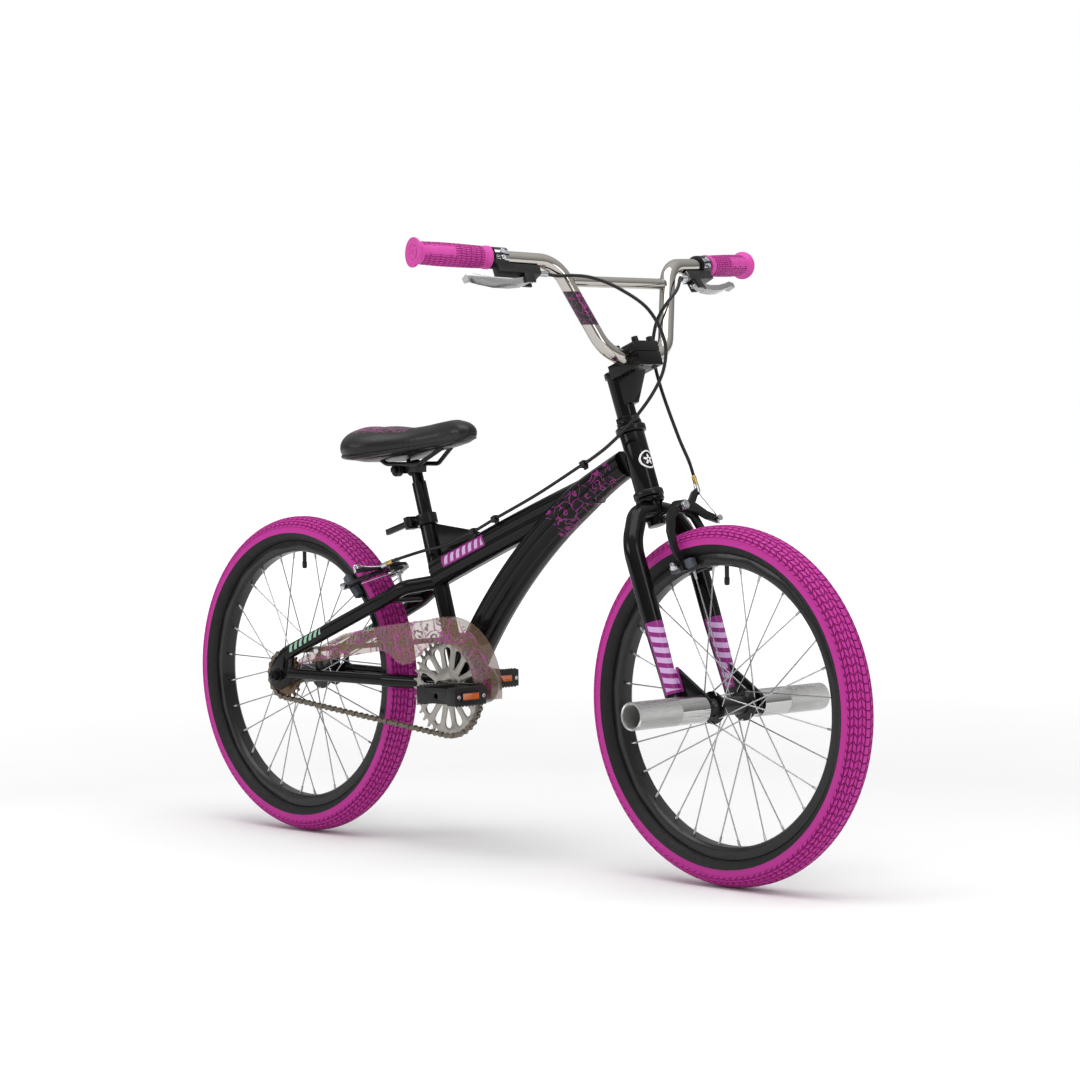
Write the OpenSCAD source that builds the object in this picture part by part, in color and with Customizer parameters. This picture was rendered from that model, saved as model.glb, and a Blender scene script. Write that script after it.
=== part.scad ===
// Twenty inch sidewalk bmx bike: hydroformed steel frame, one piece crank,
// side pull brakes, quill stem, front pegs and a printed chain guard.
// +X points forward, +Y to the rider's left, +Z up. The origin is on the
// floor, half way between the two wheel axles.

/* [Wheels] */
// Distance between the wheel axles
wheelbase = 916; // [900:1:930]
// Outer radius of both tyres
tyre_r = 253; // [251:0.5:255]
// Number of spokes in each wheel, half of them on each flange
spoke_count = 28; // [20, 28, 36]
// Thickness of a spoke
spoke_d = 2; // [1.8:0.1:2.4]

/* [Frame] */
// Steering axis angle from the floor
head_angle = 70; // [69:0.5:71]
// Length of the head tube
head_len = 88; // [84:1:92]
// Outer diameter of the down tube
down_d = 51; // [46:1:54]
// Outer height of the top tube
top_d = 44; // [40:1:46]
// Outer diameter of the seat tube
seat_tube_d = 25.4; // [25:0.1:27]

/* [Drive] */
// Teeth on the chainring
ring_teeth = 36; // [36]
// Teeth on the freewheel
free_teeth = 18; // [18]
// Crank arm length, centre to pedal spindle
crank_len = 92; // [88:1:96]

/* [Cockpit] */
// Width over the outer ends of the grips
bar_width = 676; // [660:2:690]
// Diameter of the handlebar tube
bar_d = 22.2; // [22.2]
// Length of each front peg
peg_len = 137; // [120:1:140]
// Diameter of each front peg
peg_d = 39; // [36:0.5:40]

/* [Hidden] */

axle_z = tyre_r;
front_x = wheelbase / 2;
rear_x = -wheelbase / 2;
axle_r = 4.76;
fork_rake = 40;
fork_drop = 375.3;
tilt = 90 - head_angle;
steer_x = front_x - fork_rake * cos(tilt) - fork_drop * sin(tilt);
steer_z = axle_z - fork_rake * sin(tilt) + fork_drop * cos(tilt);
steerer_r = 12.7;
head_r = 18;
gap = 0.05;

// chain geometry: one link is half an inch
pitch = 12.7;
ring_pr = pitch / 2 / sin(180 / ring_teeth);
free_pr = pitch / 2 / sin(180 / free_teeth);
chain_c = 385.6;
chain_links = 88;
bb_x = rear_x + chain_c;
chain_y = -43;
roller_r = 3.8;

// seat tube axis, from the bracket shell up to the clamp
seat_low = [bb_x - 16, 0, axle_z];
seat_up = [-0.2865, 0, 0.9581];
seat_len = 268;
function along_seat(t) = seat_low + seat_up * t;
seat_tilt = atan2(seat_up[0], seat_up[2]);

// down tube: one long arc in the centre plane
arc_r = 820;
arc_c = [627, -146];
function arc_at(a) = [arc_c[0] - arc_r * cos(a), 0, arc_c[1] + arc_r * sin(a)];

bar_r = bar_d / 2;
bar_x = 48.5;
bar_z = 142;
brake_reach = 85;
brake_x = 46;
brake_z = -86;
rear_pivot = [-232, 0, 424];
rear_tilt = 71;

// ---------- helpers ----------
function unit(v) = v / norm(v);
function turn_of(u, v) = acos(max(-1, min(1, u * v)));
// points of a path whose corners are rounded with the given radii
function corner(a, b, c, r, n) =
    let (u = unit(b - a), v = unit(c - b), f = turn_of(u, v))
    f < 1 ? [b] :
    let (s = b - u * r * tan(f / 2), w = unit(v - u * (u * v)))
    [for (k = [0:n]) s + u * r * sin(f * k / n) + w * r * (1 - cos(f * k / n))];
function rounded(p, r, n = 6) = [
    p[0],
    for (i = [1:len(p) - 2]) each corner(p[i - 1], p[i], p[i + 1], r[i - 1], n),
    p[len(p) - 1]
];
// smooth curve through every point
function bead(a, b, c, d, t) =
    0.5 * (2 * b + (c - a) * t + (2 * a - 5 * b + 4 * c - d) * t * t
    + (3 * b - a - 3 * c + d) * t * t * t);
function curve(p, n) = [
    for (i = [0:len(p) - 2], k = [0:n - 1])
        bead(p[max(i - 1, 0)], p[i], p[i + 1], p[min(i + 2, len(p) - 1)], k / n),
    p[len(p) - 1]
];
function heading(p, i) = unit(p[min(i + 1, len(p) - 1)] - p[max(i - 1, 0)]);
function disc(r, n) = [for (k = [0:n - 1]) r * [cos(360 * k / n), sin(360 * k / n)]];
function boxy(w, h, c) = [
    [w, h - c], [w - c, h], [c - w, h], [-w, h - c], [-w, c - h], [c - w, -h], [w - c, -h], [w, c - h]
];
function ring_points(p, shape, ref) = [
    for (i = [0:len(p) - 1])
        let (t = heading(p, i), n = unit(cross(ref, t)), b = cross(t, n))
        for (s = shape) p[i] + n * s[0] + b * s[1]
];

// solid swept along a path
module sweep(p, shape, ref = [0, 1, 0]) {
    m = len(shape);
    last = (len(p) - 1) * m;
    faces = [
        [for (k = [0:m - 1]) k],
        for (i = [0:len(p) - 2], k = [0:m - 1])
            each let (a = i * m + k, b = i * m + (k + 1) % m) [[a, a + m, b], [b, a + m, b + m]],
        [for (k = [m - 1:-1:0]) last + k]
    ];
    polyhedron(ring_points(p, shape, ref), faces);
}

// open pipe swept along a path
module pipe(p, outer, inner, ref = [0, 1, 0]) {
    m = len(outer);
    q = len(p) * m;
    last = (len(p) - 1) * m;
    faces = [
        for (i = [0:len(p) - 2], k = [0:m - 1])
            each let (a = i * m + k, b = i * m + (k + 1) % m)
            [[a, a + m, b], [b, a + m, b + m], [q + a, q + b, q + a + m], [q + b, q + b + m, q + a + m]],
        for (k = [0:m - 1])
            each let (b = (k + 1) % m)
            [[k, b, q + k], [b, q + b, q + k],
             [last + k, q + last + k, last + b], [last + b, q + last + k, q + last + b]]
    ];
    polyhedron(concat(ring_points(p, outer, ref), ring_points(p, inner, ref)), faces);
}

// round rod between two points
module rod(a, b, r) {
    v = b - a;
    translate(a)
        rotate([0, atan2(norm([v[0], v[1]]), v[2]), atan2(v[1], v[0])])
            cylinder(h = norm(v), r = r, $fn = 32);
}

// flat strip outline along a 2D path, with a width at each point
function side_step(p, w, i, s) =
    let (t = heading(p, i)) p[i] + s * w[i] / 2 * [-t[1], t[0]];
function strip(p, w) = concat(
    [for (i = [0:len(p) - 1]) side_step(p, w, i, 1)],
    [for (i = [len(p) - 1:-1:0]) side_step(p, w, i, -1)]
);

module steer() {
    translate([steer_x, 0, steer_z]) rotate([0, -tilt, 0]) children();
}
module across(r, h) {
    rotate([90, 0, 0]) cylinder(r = r, h = h, center = true, $fn = 48);
}
module both_sides() {
    children();
    mirror([0, 1, 0]) children();
}
// turns a profile of [radius, width] points about the Y axis
module turned(points) {
    rotate([-90, 0, 0]) rotate_extrude($fn = 96) polygon(points);
}
module seat_frame(t) {
    translate(along_seat(t)) rotate([0, seat_tilt, 0]) children();
}
module hexagon(d, h) {
    cylinder(d = d, h = h, $fn = 6);
}

// ---------- frame ----------
module head_tube() {
    color("#111114")
        steer() difference() {
            cylinder(r = head_r, h = head_len, center = true, $fn = 64);
            cylinder(r = head_r - 3, h = head_len + 2, center = true, $fn = 64);
        }
}

down_shape = boxy(down_d / 2 - 1, down_d / 2, 13);
module down_tube() {
    path = [for (a = [27:3:66]) arc_at(a)];
    color("#111114")
        difference() {
            pipe(path, down_shape, down_shape * 0.94);
            steer() cylinder(r = head_r, h = 200, center = true, $fn = 64);
            translate([steer_x + 130, 0, steer_z]) cube([200, 90, 200], center = true);
            translate([bb_x, 0, axle_z]) across(28.5, 90);
            translate([bb_x - 30, 0, axle_z - 60]) cube([260, 90, 120], center = true);
        }
}

top_low = along_seat(180);
top_high = [196, 0, 551];
module top_tube() {
    shape = boxy(18, top_d / 2, 9);
    color("#111114")
        difference() {
            union() {
                pipe([top_low, (top_low + top_high) / 2 + [0, 0, 3], top_high], shape, shape * 0.94);
                rotate([90, 0, 0])
                    linear_extrude(4, center = true)
                        polygon([[-163, 500], [-55, 489], [-20, 482], [-50, 466], [-143, 434]]);
            }
            pipe_cutter();
            seat_frame(0) cylinder(r = seat_tube_d / 2, h = 320, $fn = 64);
        }
}
// everything inside the down tube's outline
module pipe_cutter() {
    path = [for (a = [30:3:66]) arc_at(a)];
    sweep(path, down_shape);
}

module seat_tube() {
    color("#111114")
        difference() {
            seat_frame(0) difference() {
                cylinder(r = seat_tube_d / 2, h = seat_len, $fn = 64);
                translate([0, 0, -1]) cylinder(r = 11.15, h = seat_len + 2, $fn = 64);
            }
            translate([bb_x, 0, axle_z]) across(28.5, 90);
        }
}

module bottom_bracket() {
    color("#111114")
        translate([bb_x, 0, axle_z]) difference() {
            across(28.5, 68);
            across(25.6, 70);
        }
}

drop_t = 5;
drop_y = 60;
stay_low = [rear_x + 26, drop_y, axle_z + 37];
bridge = rear_pivot + 44 * [cos(rear_tilt), 0, -sin(rear_tilt)];
stay_path = rounded([along_seat(163) + [-2, 6, 0], [-178, 34, 401], [-226, 45, 377], stay_low], [40, 60], 4);
module seat_stays() {
    color("#111114")
        difference() {
            union() {
                both_sides() pipe(stay_path, disc(11, 16), disc(9.4, 16));
                translate(bridge) across(8, 72);
            }
            seat_frame(0) cylinder(r = seat_tube_d / 2, h = 320, $fn = 64);
            translate(bridge) rotate([0, rear_tilt - 90, 0])
                cylinder(r = 3.05, h = 60, center = true, $fn = 32);
            stay_slots();
        }
}
module stay_slots() {
    both_sides() translate([rear_x, drop_y - drop_t / 2, axle_z]) cube([130, drop_t, 130], center = true);
}
chain_path = rounded([[bb_x - 24, 18, axle_z + 3], [-150, 31.2, axle_z + 3], [-215, 44, axle_z + 4],
    [rear_x + 34, drop_y, axle_z + 5]], [60, 80], 4);
module chain_stays() {
    color("#111114")
        difference() {
            union() {
                both_sides() pipe(chain_path, disc(10.5, 16), disc(8.9, 16));
                translate([-152, 0, axle_z + 3]) across(7, 50);
            }
            translate([bb_x, 0, axle_z]) across(28.5, 90);
            stay_slots();
        }
}

drop_outline = [
    [-17, -17], [6, -23], [36, -8], [46, -3], [46, 12], [36, 16], [40, 44], [14, 45], [-10, 20], [-17, 14]
];
module rear_dropouts() {
    color("#111114")
        both_sides() translate([rear_x, drop_y, axle_z]) rotate([90, 0, 0])
            linear_extrude(drop_t) difference() {
                polygon(drop_outline);
                circle(r = 5, $fn = 32);
                translate([-15, 0]) square([30, 10], center = true);
                polygon([[14, 12], [28, 14], [28, 34], [16, 32]]);
            }
}

module cup_ring() {
    translate([0, 0, head_len / 2]) rotate_extrude($fn = 64)
        polygon([[13.9, 0], [21, 0], [22, 1.5], [22, 9], [20.5, 10], [19.3, 10], [19.3, 3.6], [13.9, 3.6]]);
}
module headset_cups() {
    color("#1b1b1e") steer() {
        cup_ring();
        mirror([0, 0, 1]) cup_ring();
    }
}
module bracket_cups() {
    color("#9a9ca0")
        both_sides() translate([bb_x, 34, axle_z])
            turned([[11, 1], [22.2, 1], [22.2, -11], [25.6, -11], [25.6, 0], [28, 0], [28, 3], [11, 3]]);
}
module ball_ring(r, ball, n) {
    for (k = [0:n - 1])
        rotate([0, 0, 360 * k / n]) translate([r, 0, 0]) sphere(r = ball, $fn = 24);
}
module bearing_balls() {
    color("#c9ccd0") {
        steer() for (s = [-1, 1]) translate([0, 0, s * (head_len / 2 + 5.7)]) ball_ring(17.1, 2, 20);
        for (s = [-1, 1])
            translate([bb_x, s * 29.8, axle_z]) rotate([90, 0, 0]) ball_ring(18.8, 3.1, 9);
    }
}

module seat_clamp() {
    color("#141416") seat_frame(seat_len - 14) {
        difference() {
            union() {
                cylinder(r = 16.5, h = 16, $fn = 64);
                translate([-24, -11, 0]) cube([16, 22, 16]);
            }
            translate([0, 0, -1]) cylinder(r = seat_tube_d / 2, h = 15.01, $fn = 64);
            cylinder(r = 11.15, h = 20, $fn = 64);
            translate([-30, -1.5, -1]) cube([22, 3, 18]);
            translate([-18, 0, 8]) across(3.1, 40);
        }
        translate([-18, 2, 8]) across(3, 32);
        translate([-18, 18, 8]) rotate([90, 0, 0]) hexagon(11, 6.9);
        for (z = [-1.6, 15.4]) translate([-23, -27, z]) cube([10, 18, 2]);
        translate([lever_pin[0], lever_pin[1], -1.6]) cylinder(r = 2, h = 19, $fn = 24);
    }
}

// ---------- chain guard ----------
guard_r = 107;
guard_in = 68;
guard_t = 2;
guard_face = -52;
module guard_outline() {
    difference() {
        union() {
            intersection() {
                circle(r = guard_r, $fn = 96);
                polygon([[-34, 0], [160, -16], [160, 160], [-34, 160]]);
            }
            polygon([[0, guard_r], [-154, 86], [-228, 73], [-296, 47], [-340, 27], [-340, 19], [-240, 34],
                [-139, 50], [-122, 46], [-106, 35], [-90, 30], [-74, 34], [-58, 44], [0, 60]]);
        }
        circle(r = guard_in, $fn = 96);
    }
}
// a wall's thickness along the upper edge of the outline
module guard_rim() {
    difference() {
        guard_outline();
        circle(r = guard_r - guard_t, $fn = 96);
        translate([-372, 0]) square([100, 120]);
        polygon([[0, guard_r - guard_t], [-154, 84], [-228, 71], [-295, 45], [-345, 23], [-345, 10], [0, 10]]);
    }
}
module chain_guard() {
    color("#8a6f55", 0.6) {
        translate([bb_x, guard_face, axle_z]) rotate([90, 0, 0]) linear_extrude(guard_t) guard_outline();
        translate([bb_x, guard_face + 20, axle_z]) rotate([90, 0, 0]) linear_extrude(20) guard_rim();
    }
}
guard_bolt = [-366, 0, 297];
module guard_screws() {
    color("#c8cace") {
        translate(guard_bolt + [0, guard_face - guard_t - 2.5, 0]) rotate([-90, 0, 0])
            cylinder(d = 11, h = 2.5, $fn = 32);
        translate(guard_bolt + [0, guard_face, 0]) rotate([-90, 0, 0]) cylinder(d = 8, h = 3, $fn = 32);
    }
    color("#141416") {
        translate(guard_bolt + [-6, guard_face + 0.1, -33]) cube([12, 1.5, 39]);
        translate([-37, guard_face + 0.1, axle_z + 75]) cube([10, 1.5, 10]);
        translate([-37, guard_face + 0.1, axle_z + 75]) cube([10, 27.3, 1.5]);
    }
}

// ---------- rear axle, cables, chain ----------
module rear_axle() {
    color("#26262a") translate([rear_x, 0, axle_z]) {
        across(axle_r, 150);
        both_sides() {
            translate([0, drop_y + 10.5, 0]) rotate([90, 0, 0]) difference() {
                hexagon(17, 9);
                translate([0, 0, -1]) cylinder(r = axle_r, h = 12, $fn = 32);
            }
            translate([0, drop_y + 1.45, 0]) rotate([90, 0, 0]) difference() {
                cylinder(r = 11, h = 1.4, $fn = 32);
                translate([0, 0, -1]) cylinder(r = axle_r, h = 4, $fn = 32);
            }
            translate([0, drop_y - drop_t - 0.05, 0]) rotate([90, 0, 0]) difference() {
                hexagon(15, 8);
                translate([0, 0, -1]) cylinder(r = axle_r, h = 10, $fn = 32);
            }
        }
    }
}

// rear brake cable, from the bar to the brake, in two stretches
loop_route = [
    [247.4, -137.6, 858.5], [257, -124, 856], [276, -113, 856], [303, -103, 852], [338, -88, 837],
    [376, -68, 807], [392, -52, 764], [382, -42, 726], [356, -38, 690], [312, -36, 650],
    [262, -32, 617], [214, -26, 594]
];
rear_route = [
    [214, -26, 594], [202, -24, 590], [103, -20, 546], [8, -18, 508], [-40, -18, 488],
    [-105, -18, 466], [-140, -26, 458], [-166, -40, 449.4], [-187, -48.6, 442.2], [-200.3, -49, 437.6]
];
front_route = [
    [247.4, 137.6, 858.5], [257, 124, 856], [272, 108, 852], [280, 92, 838], [276, 74, 818],
    [268, 62, 791], [269, 54, 750], [288, 49, 700], [322, 48, 630], [342, 48.6, 594],
    [350.7, 49, 573], [355.2, 49, 560.4]
];
cable_r = 2.5;
module cable_loop() {
    color("#101012") sweep(curve(loop_route, 3), disc(cable_r, 8), [0, 1, 0.2]);
}
module rear_cable() {
    color("#101012") sweep(curve(rear_route, 3), disc(cable_r, 8), [0, 1, 0.2]);
}
module front_cable() {
    color("#101012") sweep(curve(front_route, 3), disc(cable_r, 8), [1, 0.2, 0]);
}
clip_places = [[203, -24, 590], [8, -18, 508], [-40, -18, 488]];
module cable_clips() {
    color("#141416")
        for (p = clip_places) translate(p) rotate([0, -25, 0]) difference() {
            union() {
                cube([9, 9, 9], center = true);
                translate([0, 2, -5]) cube([7, 4, 6], center = true);
            }
            cube([20, 5.4, 5.4], center = true);
        }
}

// roller centres, counted along the chain from the top of the freewheel
wrap = asin((ring_pr - free_pr) / chain_c);
run = chain_c * cos(wrap) / pitch;
ring_wrap = ring_teeth * (180 + 2 * wrap) / 360;
function chain_at(s) =
    s < run ? free_top() + (ring_top() - free_top()) * s / run :
    s < run + ring_wrap ? on_ring(90 + wrap - (s - run) * 360 / ring_teeth) :
    s < 2 * run + ring_wrap ? ring_bot() + (free_bot() - ring_bot()) * (s - run - ring_wrap) / run :
    on_free(270 - wrap - (s - 2 * run - ring_wrap) * 360 / free_teeth);
function on_ring(a) = [bb_x + ring_pr * cos(a), axle_z + ring_pr * sin(a)];
function on_free(a) = [rear_x + free_pr * cos(a), axle_z + free_pr * sin(a)];
function ring_top() = on_ring(90 + wrap);
function ring_bot() = on_ring(270 - wrap);
function free_top() = on_free(90 + wrap);
function free_bot() = on_free(270 - wrap);
module link_plates(a, b, y, w) {
    v = b - a;
    translate([a[0], y, a[1]]) rotate([0, -atan2(v[1], v[0]), 0]) rotate([90, 0, 0])
        linear_extrude(w, center = true) {
            polygon([[-4.2, 0], [-2, -3.7], [norm(v) + 2, -3.7], [norm(v) + 4.2, 0], [norm(v) + 2, 3.7], [-2, 3.7]]);
        }
}
module chain() {
    color("#4a4238") {
        for (i = [0:chain_links - 1]) {
            a = chain_at(i);
            b = chain_at((i + 1) % chain_links);
            out = i % 2 == 0 ? 4.2 : 3.1;
            for (s = [-1, 1]) link_plates(a, b, chain_y + s * out, 1);
            translate([a[0], chain_y, a[1]]) across(1.8, 8.8);
            translate([a[0], chain_y, a[1]]) across(roller_r, 5);
        }
    }
}

// toothed disc: the gaps sit on the pitch circle
module sprocket(teeth, pr, turn) {
    tip = pr + 4;
    difference() {
        circle(r = tip, $fn = 96);
        for (k = [0:teeth - 1])
            rotate(turn + 360 * k / teeth) {
                translate([pr, 0]) circle(r = 4.5, $fn = 24);
                translate([pr, 0]) polygon([[-0.5, -4.5], [6, -6.2], [6, 6.2], [-0.5, 4.5]]);
            }
    }
}
ring_phase = 90 + wrap - (ceil(run) - run) * 360 / ring_teeth;
free_first = 2 * run + ring_wrap;
free_phase = 270 - wrap - (ceil(free_first) - free_first) * 360 / free_teeth;
module chainring() {
    color("#a39d94")
        translate([bb_x, chain_y + 1.5, axle_z]) rotate([90, 0, 0]) linear_extrude(3) difference() {
            sprocket(ring_teeth, ring_pr, ring_phase);
            circle(r = 12, $fn = 48);
            translate([20, 0]) circle(r = 3.1, $fn = 24);
            for (k = [0:13]) rotate(360 / 14 * (k + 0.5)) polygon(petal_points);
        }
}
petal_points = [
    [30, 1.5], [38, 4], [50, 7], [56, 7.5], [60, 5.5], [62, 0],
    [60, -5.5], [56, -7.5], [50, -7], [38, -4], [30, -1.5]
];
module freewheel() {
    color("#4a3a2c") translate([rear_x, chain_y + 1.5, axle_z]) rotate([90, 0, 0]) {
        linear_extrude(3) difference() {
            sprocket(free_teeth, free_pr, free_phase);
            circle(r = 19.1, $fn = 64);
        }
        translate([0, 0, -6]) linear_extrude(12) difference() {
            circle(r = 26, $fn = 64);
            circle(r = 19.1, $fn = 64);
        }
    }
}

// ---------- crank ----------
module crank() {
    color("#141416") translate([bb_x, 0, axle_z]) {
        across(8, 92);
        for (s = [-1, 1]) scale([s, s, 1]) {
            hull() {
                translate([0, -50, 0]) rotate([90, 0, 0]) cylinder(r = 12, h = 10, $fn = 32);
                translate([20, -58, 0]) rotate([90, 0, 0]) cylinder(r = 10, h = 10, $fn = 32);
            }
            hull() {
                translate([20, -58, 0]) rotate([90, 0, 0]) cylinder(r = 10, h = 10, $fn = 32);
                translate([crank_len, -61, 0]) rotate([90, 0, 0]) cylinder(r = 12.5, h = 11, $fn = 32);
            }
            translate([crank_len, -66, 0]) across(5, 20);
            translate([crank_len, -72, 0]) rotate([90, 0, 0]) cylinder(r = 4.2, h = 74, $fn = 32);
            translate([crank_len, -72, 0]) rotate([90, 0, 0]) hexagon(15, 4);
        }
        translate([0, chain_y + 1.55, 0]) rotate([90, 0, 0]) cylinder(r = 11.95, h = 9, $fn = 48);
        translate([20, chain_y + 1.55, 0]) rotate([90, 0, 0]) cylinder(r = 3, h = 18, $fn = 24);
        for (s = [-1, 1]) translate([0, s * 38.5, 0]) rotate([-90 * s, 0, 0]) difference() {
            translate([0, 0, -1]) cylinder(r = 18, h = 3.9, $fn = 48);
            translate([0, 0, -2]) cylinder(r = 8, h = 8, $fn = 48);
        }
        for (s = [-1, 1]) translate([0, s * 31, 0]) rotate([-90 * s, 0, 0]) difference() {
            cylinder(r = 10.94, h = 7, $fn = 48);
            translate([0, 0, -1]) cylinder(r = 8, h = 9, $fn = 48);
        }
    }
}
module pedal_block() {
    difference() {
        union() {
            for (s = [-1, 1]) translate([s * 33, -121, 0]) cube([17, 62, 26], center = true);
            for (y = [-93, -149]) translate([0, y, 0]) cube([83, 6, 22], center = true);
            translate([0, -121, 0]) across(9, 60);
        }
        translate([0, -121, 0]) across(4.3, 70);
        for (s = [-1, 1]) translate([s * 41, -121, 0]) cube([3, 44, 11], center = true);
    }
}
module reflectors() {
    for (s = [-1, 1]) translate([s * 40.8, -121, 0]) cube([2.4, 43.8, 10.8], center = true);
}
module right_pedal() {
    translate([bb_x + crank_len, 0, axle_z]) {
        color("#141416") pedal_block();
        color("#d87a12") reflectors();
    }
}
module left_pedal() {
    translate([bb_x - crank_len, 0, axle_z]) mirror([0, 1, 0]) {
        color("#141416") pedal_block();
        color("#d87a12") reflectors();
    }
}

// ---------- seat ----------
module seat_post() {
    color("#1a1a1d") seat_frame(0) {
        translate([0, 0, 150]) cylinder(r = 11.1, h = 172, $fn = 64);
        translate([0, 0, 322]) cylinder(r = 8.9, h = 34, $fn = 64);
    }
}
saddle_at = along_seat(346);
saddle_bolt = [-24, 0, -4];
module saddle_clamp() {
    color("#141416") translate(saddle_at) {
        difference() {
            union() {
                translate([0, 0, -1]) cube([26, 22, 14], center = true);
                translate([-13, 0, -4]) cube([24, 22, 12], center = true);
            }
            rotate([0, seat_tilt, 0]) cylinder(r = 8.95, h = 60, center = true, $fn = 48);
        }
        translate(saddle_bolt) {
            across(4, 54);
            for (s = [-1, 1]) translate([0, s * 24, 0]) across(5, 5);
        }
    }
}
rail_path = rounded([[-58, 34, 22], [-42, 24, 5], [30, 20, 5], [72, 9, 30]], [14, 20], 4);
module saddle_rails() {
    color("#141416") translate(saddle_at) both_sides() {
        difference() {
            union() {
                sweep(rail_path, disc(3.5, 12), [0, 1, 0]);
                translate(saddle_bolt + [0, 16, 0]) across(10.5, 9.4);
            }
            translate(saddle_bolt) across(4.06, 80);
        }
    }
}
// half width, underside and top of the saddle at stations from tail to nose
saddle_shape = [
    [-113, 20, 30, 46], [-106, 52, 20, 58], [-88, 74, 15, 63], [-60, 82, 15, 64], [-30, 74, 19, 62],
    [0, 54, 24, 61], [40, 33, 30, 64], [80, 25, 36, 70], [110, 22, 42, 73], [128, 18, 46, 70], [136, 9, 52, 63]
];
module loaf(low, high, shrink) {
    m = 20;
    pts = [
        for (s = saddle_shape)
            let (b = s[2] + low * (s[3] - s[2]), t = s[2] + high * (s[3] - s[2]),
                 c = (b + t) / 2, h = (t - b) / 2)
            for (k = [0:m - 1])
                let (a = 360 * k / m)
                [s[0], (s[1] - shrink) * sign(cos(a)) * pow(abs(cos(a)), 0.6), c + h * sign(sin(a)) * pow(abs(sin(a)), 0.8)]
    ];
    last = (len(saddle_shape) - 1) * m;
    faces = [
        [for (k = [m - 1:-1:0]) k],
        for (i = [0:len(saddle_shape) - 2], k = [0:m - 1])
            each let (a = i * m + k, b = i * m + (k + 1) % m) [[a, b, a + m], [b, b + m, a + m]],
        [for (k = [0:m - 1]) last + k]
    ];
    polyhedron(pts, faces);
}
module saddle_cover() {
    color("#17171a") translate(saddle_at + [-5, 0, -4]) loaf(0.3, 1, 0);
}
module saddle_base() {
    color("#101012") translate(saddle_at + [-5, 0, -4]) loaf(-0.02, 0.28, 3);
}
lever_pin = [-18, -22, 8];
module clamp_lever() {
    color("#141416") seat_frame(seat_len - 14) translate(lever_pin) difference() {
        union() {
            translate([0, 0, -7]) cylinder(r = 7, h = 14, $fn = 32);
            translate([-52, -3.5, -5]) cube([48, 7, 9]);
        }
        cylinder(r = 2.06, h = 30, center = true, $fn = 24);
    }
}

// ---------- fork and headset ----------
module fork_steerer() {
    color("#111114") steer() {
        difference() {
            translate([0, 0, brake_z - 10]) cylinder(r = steerer_r, h = 158, $fn = 64);
            translate([0, 0, -70]) cylinder(r = 11.15, h = 140, $fn = 64);
            translate([0, 0, brake_z]) rotate([0, 90, 0]) cylinder(r = 3.1, h = 60, center = true, $fn = 32);
        }
    }
}
leg_path = rounded([[0, 4, -72], [0, 34, -78], [0, 61, -122], [0, 61, -346]], [22, 70], 4);
module fork_legs() {
    color("#111114") steer() difference() {
        both_sides() pipe(leg_path, disc(14.3, 16), disc(12.5, 16), [1, 0, 0]);
        cylinder(r = steerer_r, h = 400, center = true, $fn = 64);
        translate([0, 0, -head_len / 2 - 18.05]) cylinder(r = 22, h = 40, $fn = 64);
    }
    color("#111114") steer() both_sides() difference() {
        translate([0, 55, 0]) rotate([90, 0, 0]) linear_extrude(5) polygon([
            [2, -352], [2, -318], [14, -306], [52, -356], [60, -370], [55, -384], [40, -391], [26, -386], [14, -368]
        ]);
        translate([fork_rake, 52, -fork_drop]) across(5, 20);
    }
}
module headset_nuts() {
    color("#1b1b1e") steer() {
        translate([0, 0, -head_len / 2 - 18]) rotate_extrude($fn = 64)
            polygon([[12.75, 0], [19, 0], [21, 3], [21, 6], [15, 8.5], [15, 13.8], [12.75, 13.8]]);
        translate([0, 0, head_len / 2 + 4.2]) rotate_extrude($fn = 64)
            polygon([[12.75, 0], [15, 0], [15, 6.2], [18, 8], [18, 13], [12.75, 13]]);
        translate([0, 0, head_len / 2 + 17.4]) difference() {
            hexagon(36, 7);
            translate([0, 0, -1]) cylinder(r = 12.75, h = 12, $fn = 48);
        }
    }
}
stem_w = 46;
module stem() {
    color("#141416") steer() {
        difference() {
            union() {
                translate([0, 0, -20]) cylinder(r = 11.1, h = 92, $fn = 64);
                translate([0, 0, 69]) cylinder(r = 14.5, h = 64, $fn = 64);
                translate([0, 0, 130]) cylinder(r = 17, h = 7, $fn = 64);
                translate([10, -stem_w / 2, 122]) cube([63, stem_w, bar_z - 122]);
                rotate([90, 0, 0]) linear_extrude(20, center = true)
                    polygon([[8, 84], [20, 84], [50, 123], [8, 123]]);
            }
            translate([bar_x, 0, bar_z]) across(bar_r, 100);
            translate([0, 0, -21]) cylinder(r = 5, h = 170, $fn = 32);
            for (x = [29, 67], y = [-15, 15]) translate([x, y, 100]) cylinder(r = 2.6, h = 60, $fn = 24);
        }
    }
}
module stem_cap() {
    color("#141416") steer() difference() {
        translate([23, -stem_w / 2, bar_z + 1]) cube([50, stem_w, 15]);
        translate([bar_x, 0, bar_z]) across(bar_r, 100);
        for (x = [29, 67], y = [-15, 15]) translate([x, y, 100]) cylinder(r = 3.1, h = 100, $fn = 24);
    }
}
module stem_bolts() {
    color("#b9bcc0") steer() {
        for (x = [29, 67], y = [-15, 15]) translate([x, y, 0]) {
            translate([0, 0, 124]) cylinder(r = 2.5, h = 36, $fn = 24);
            translate([0, 0, bar_z + 16.05]) cylinder(r = 5, h = 5, $fn = 32);
        }
        translate([0, 0, -34]) cylinder(r = 4, h = 172, $fn = 32);
        translate([0, 0, 137.05]) cylinder(r = 7, h = 4, $fn = 32);
        translate([0, 0, -40]) cylinder(r = 10.9, h = 18, $fn = 48);
    }
}

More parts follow.
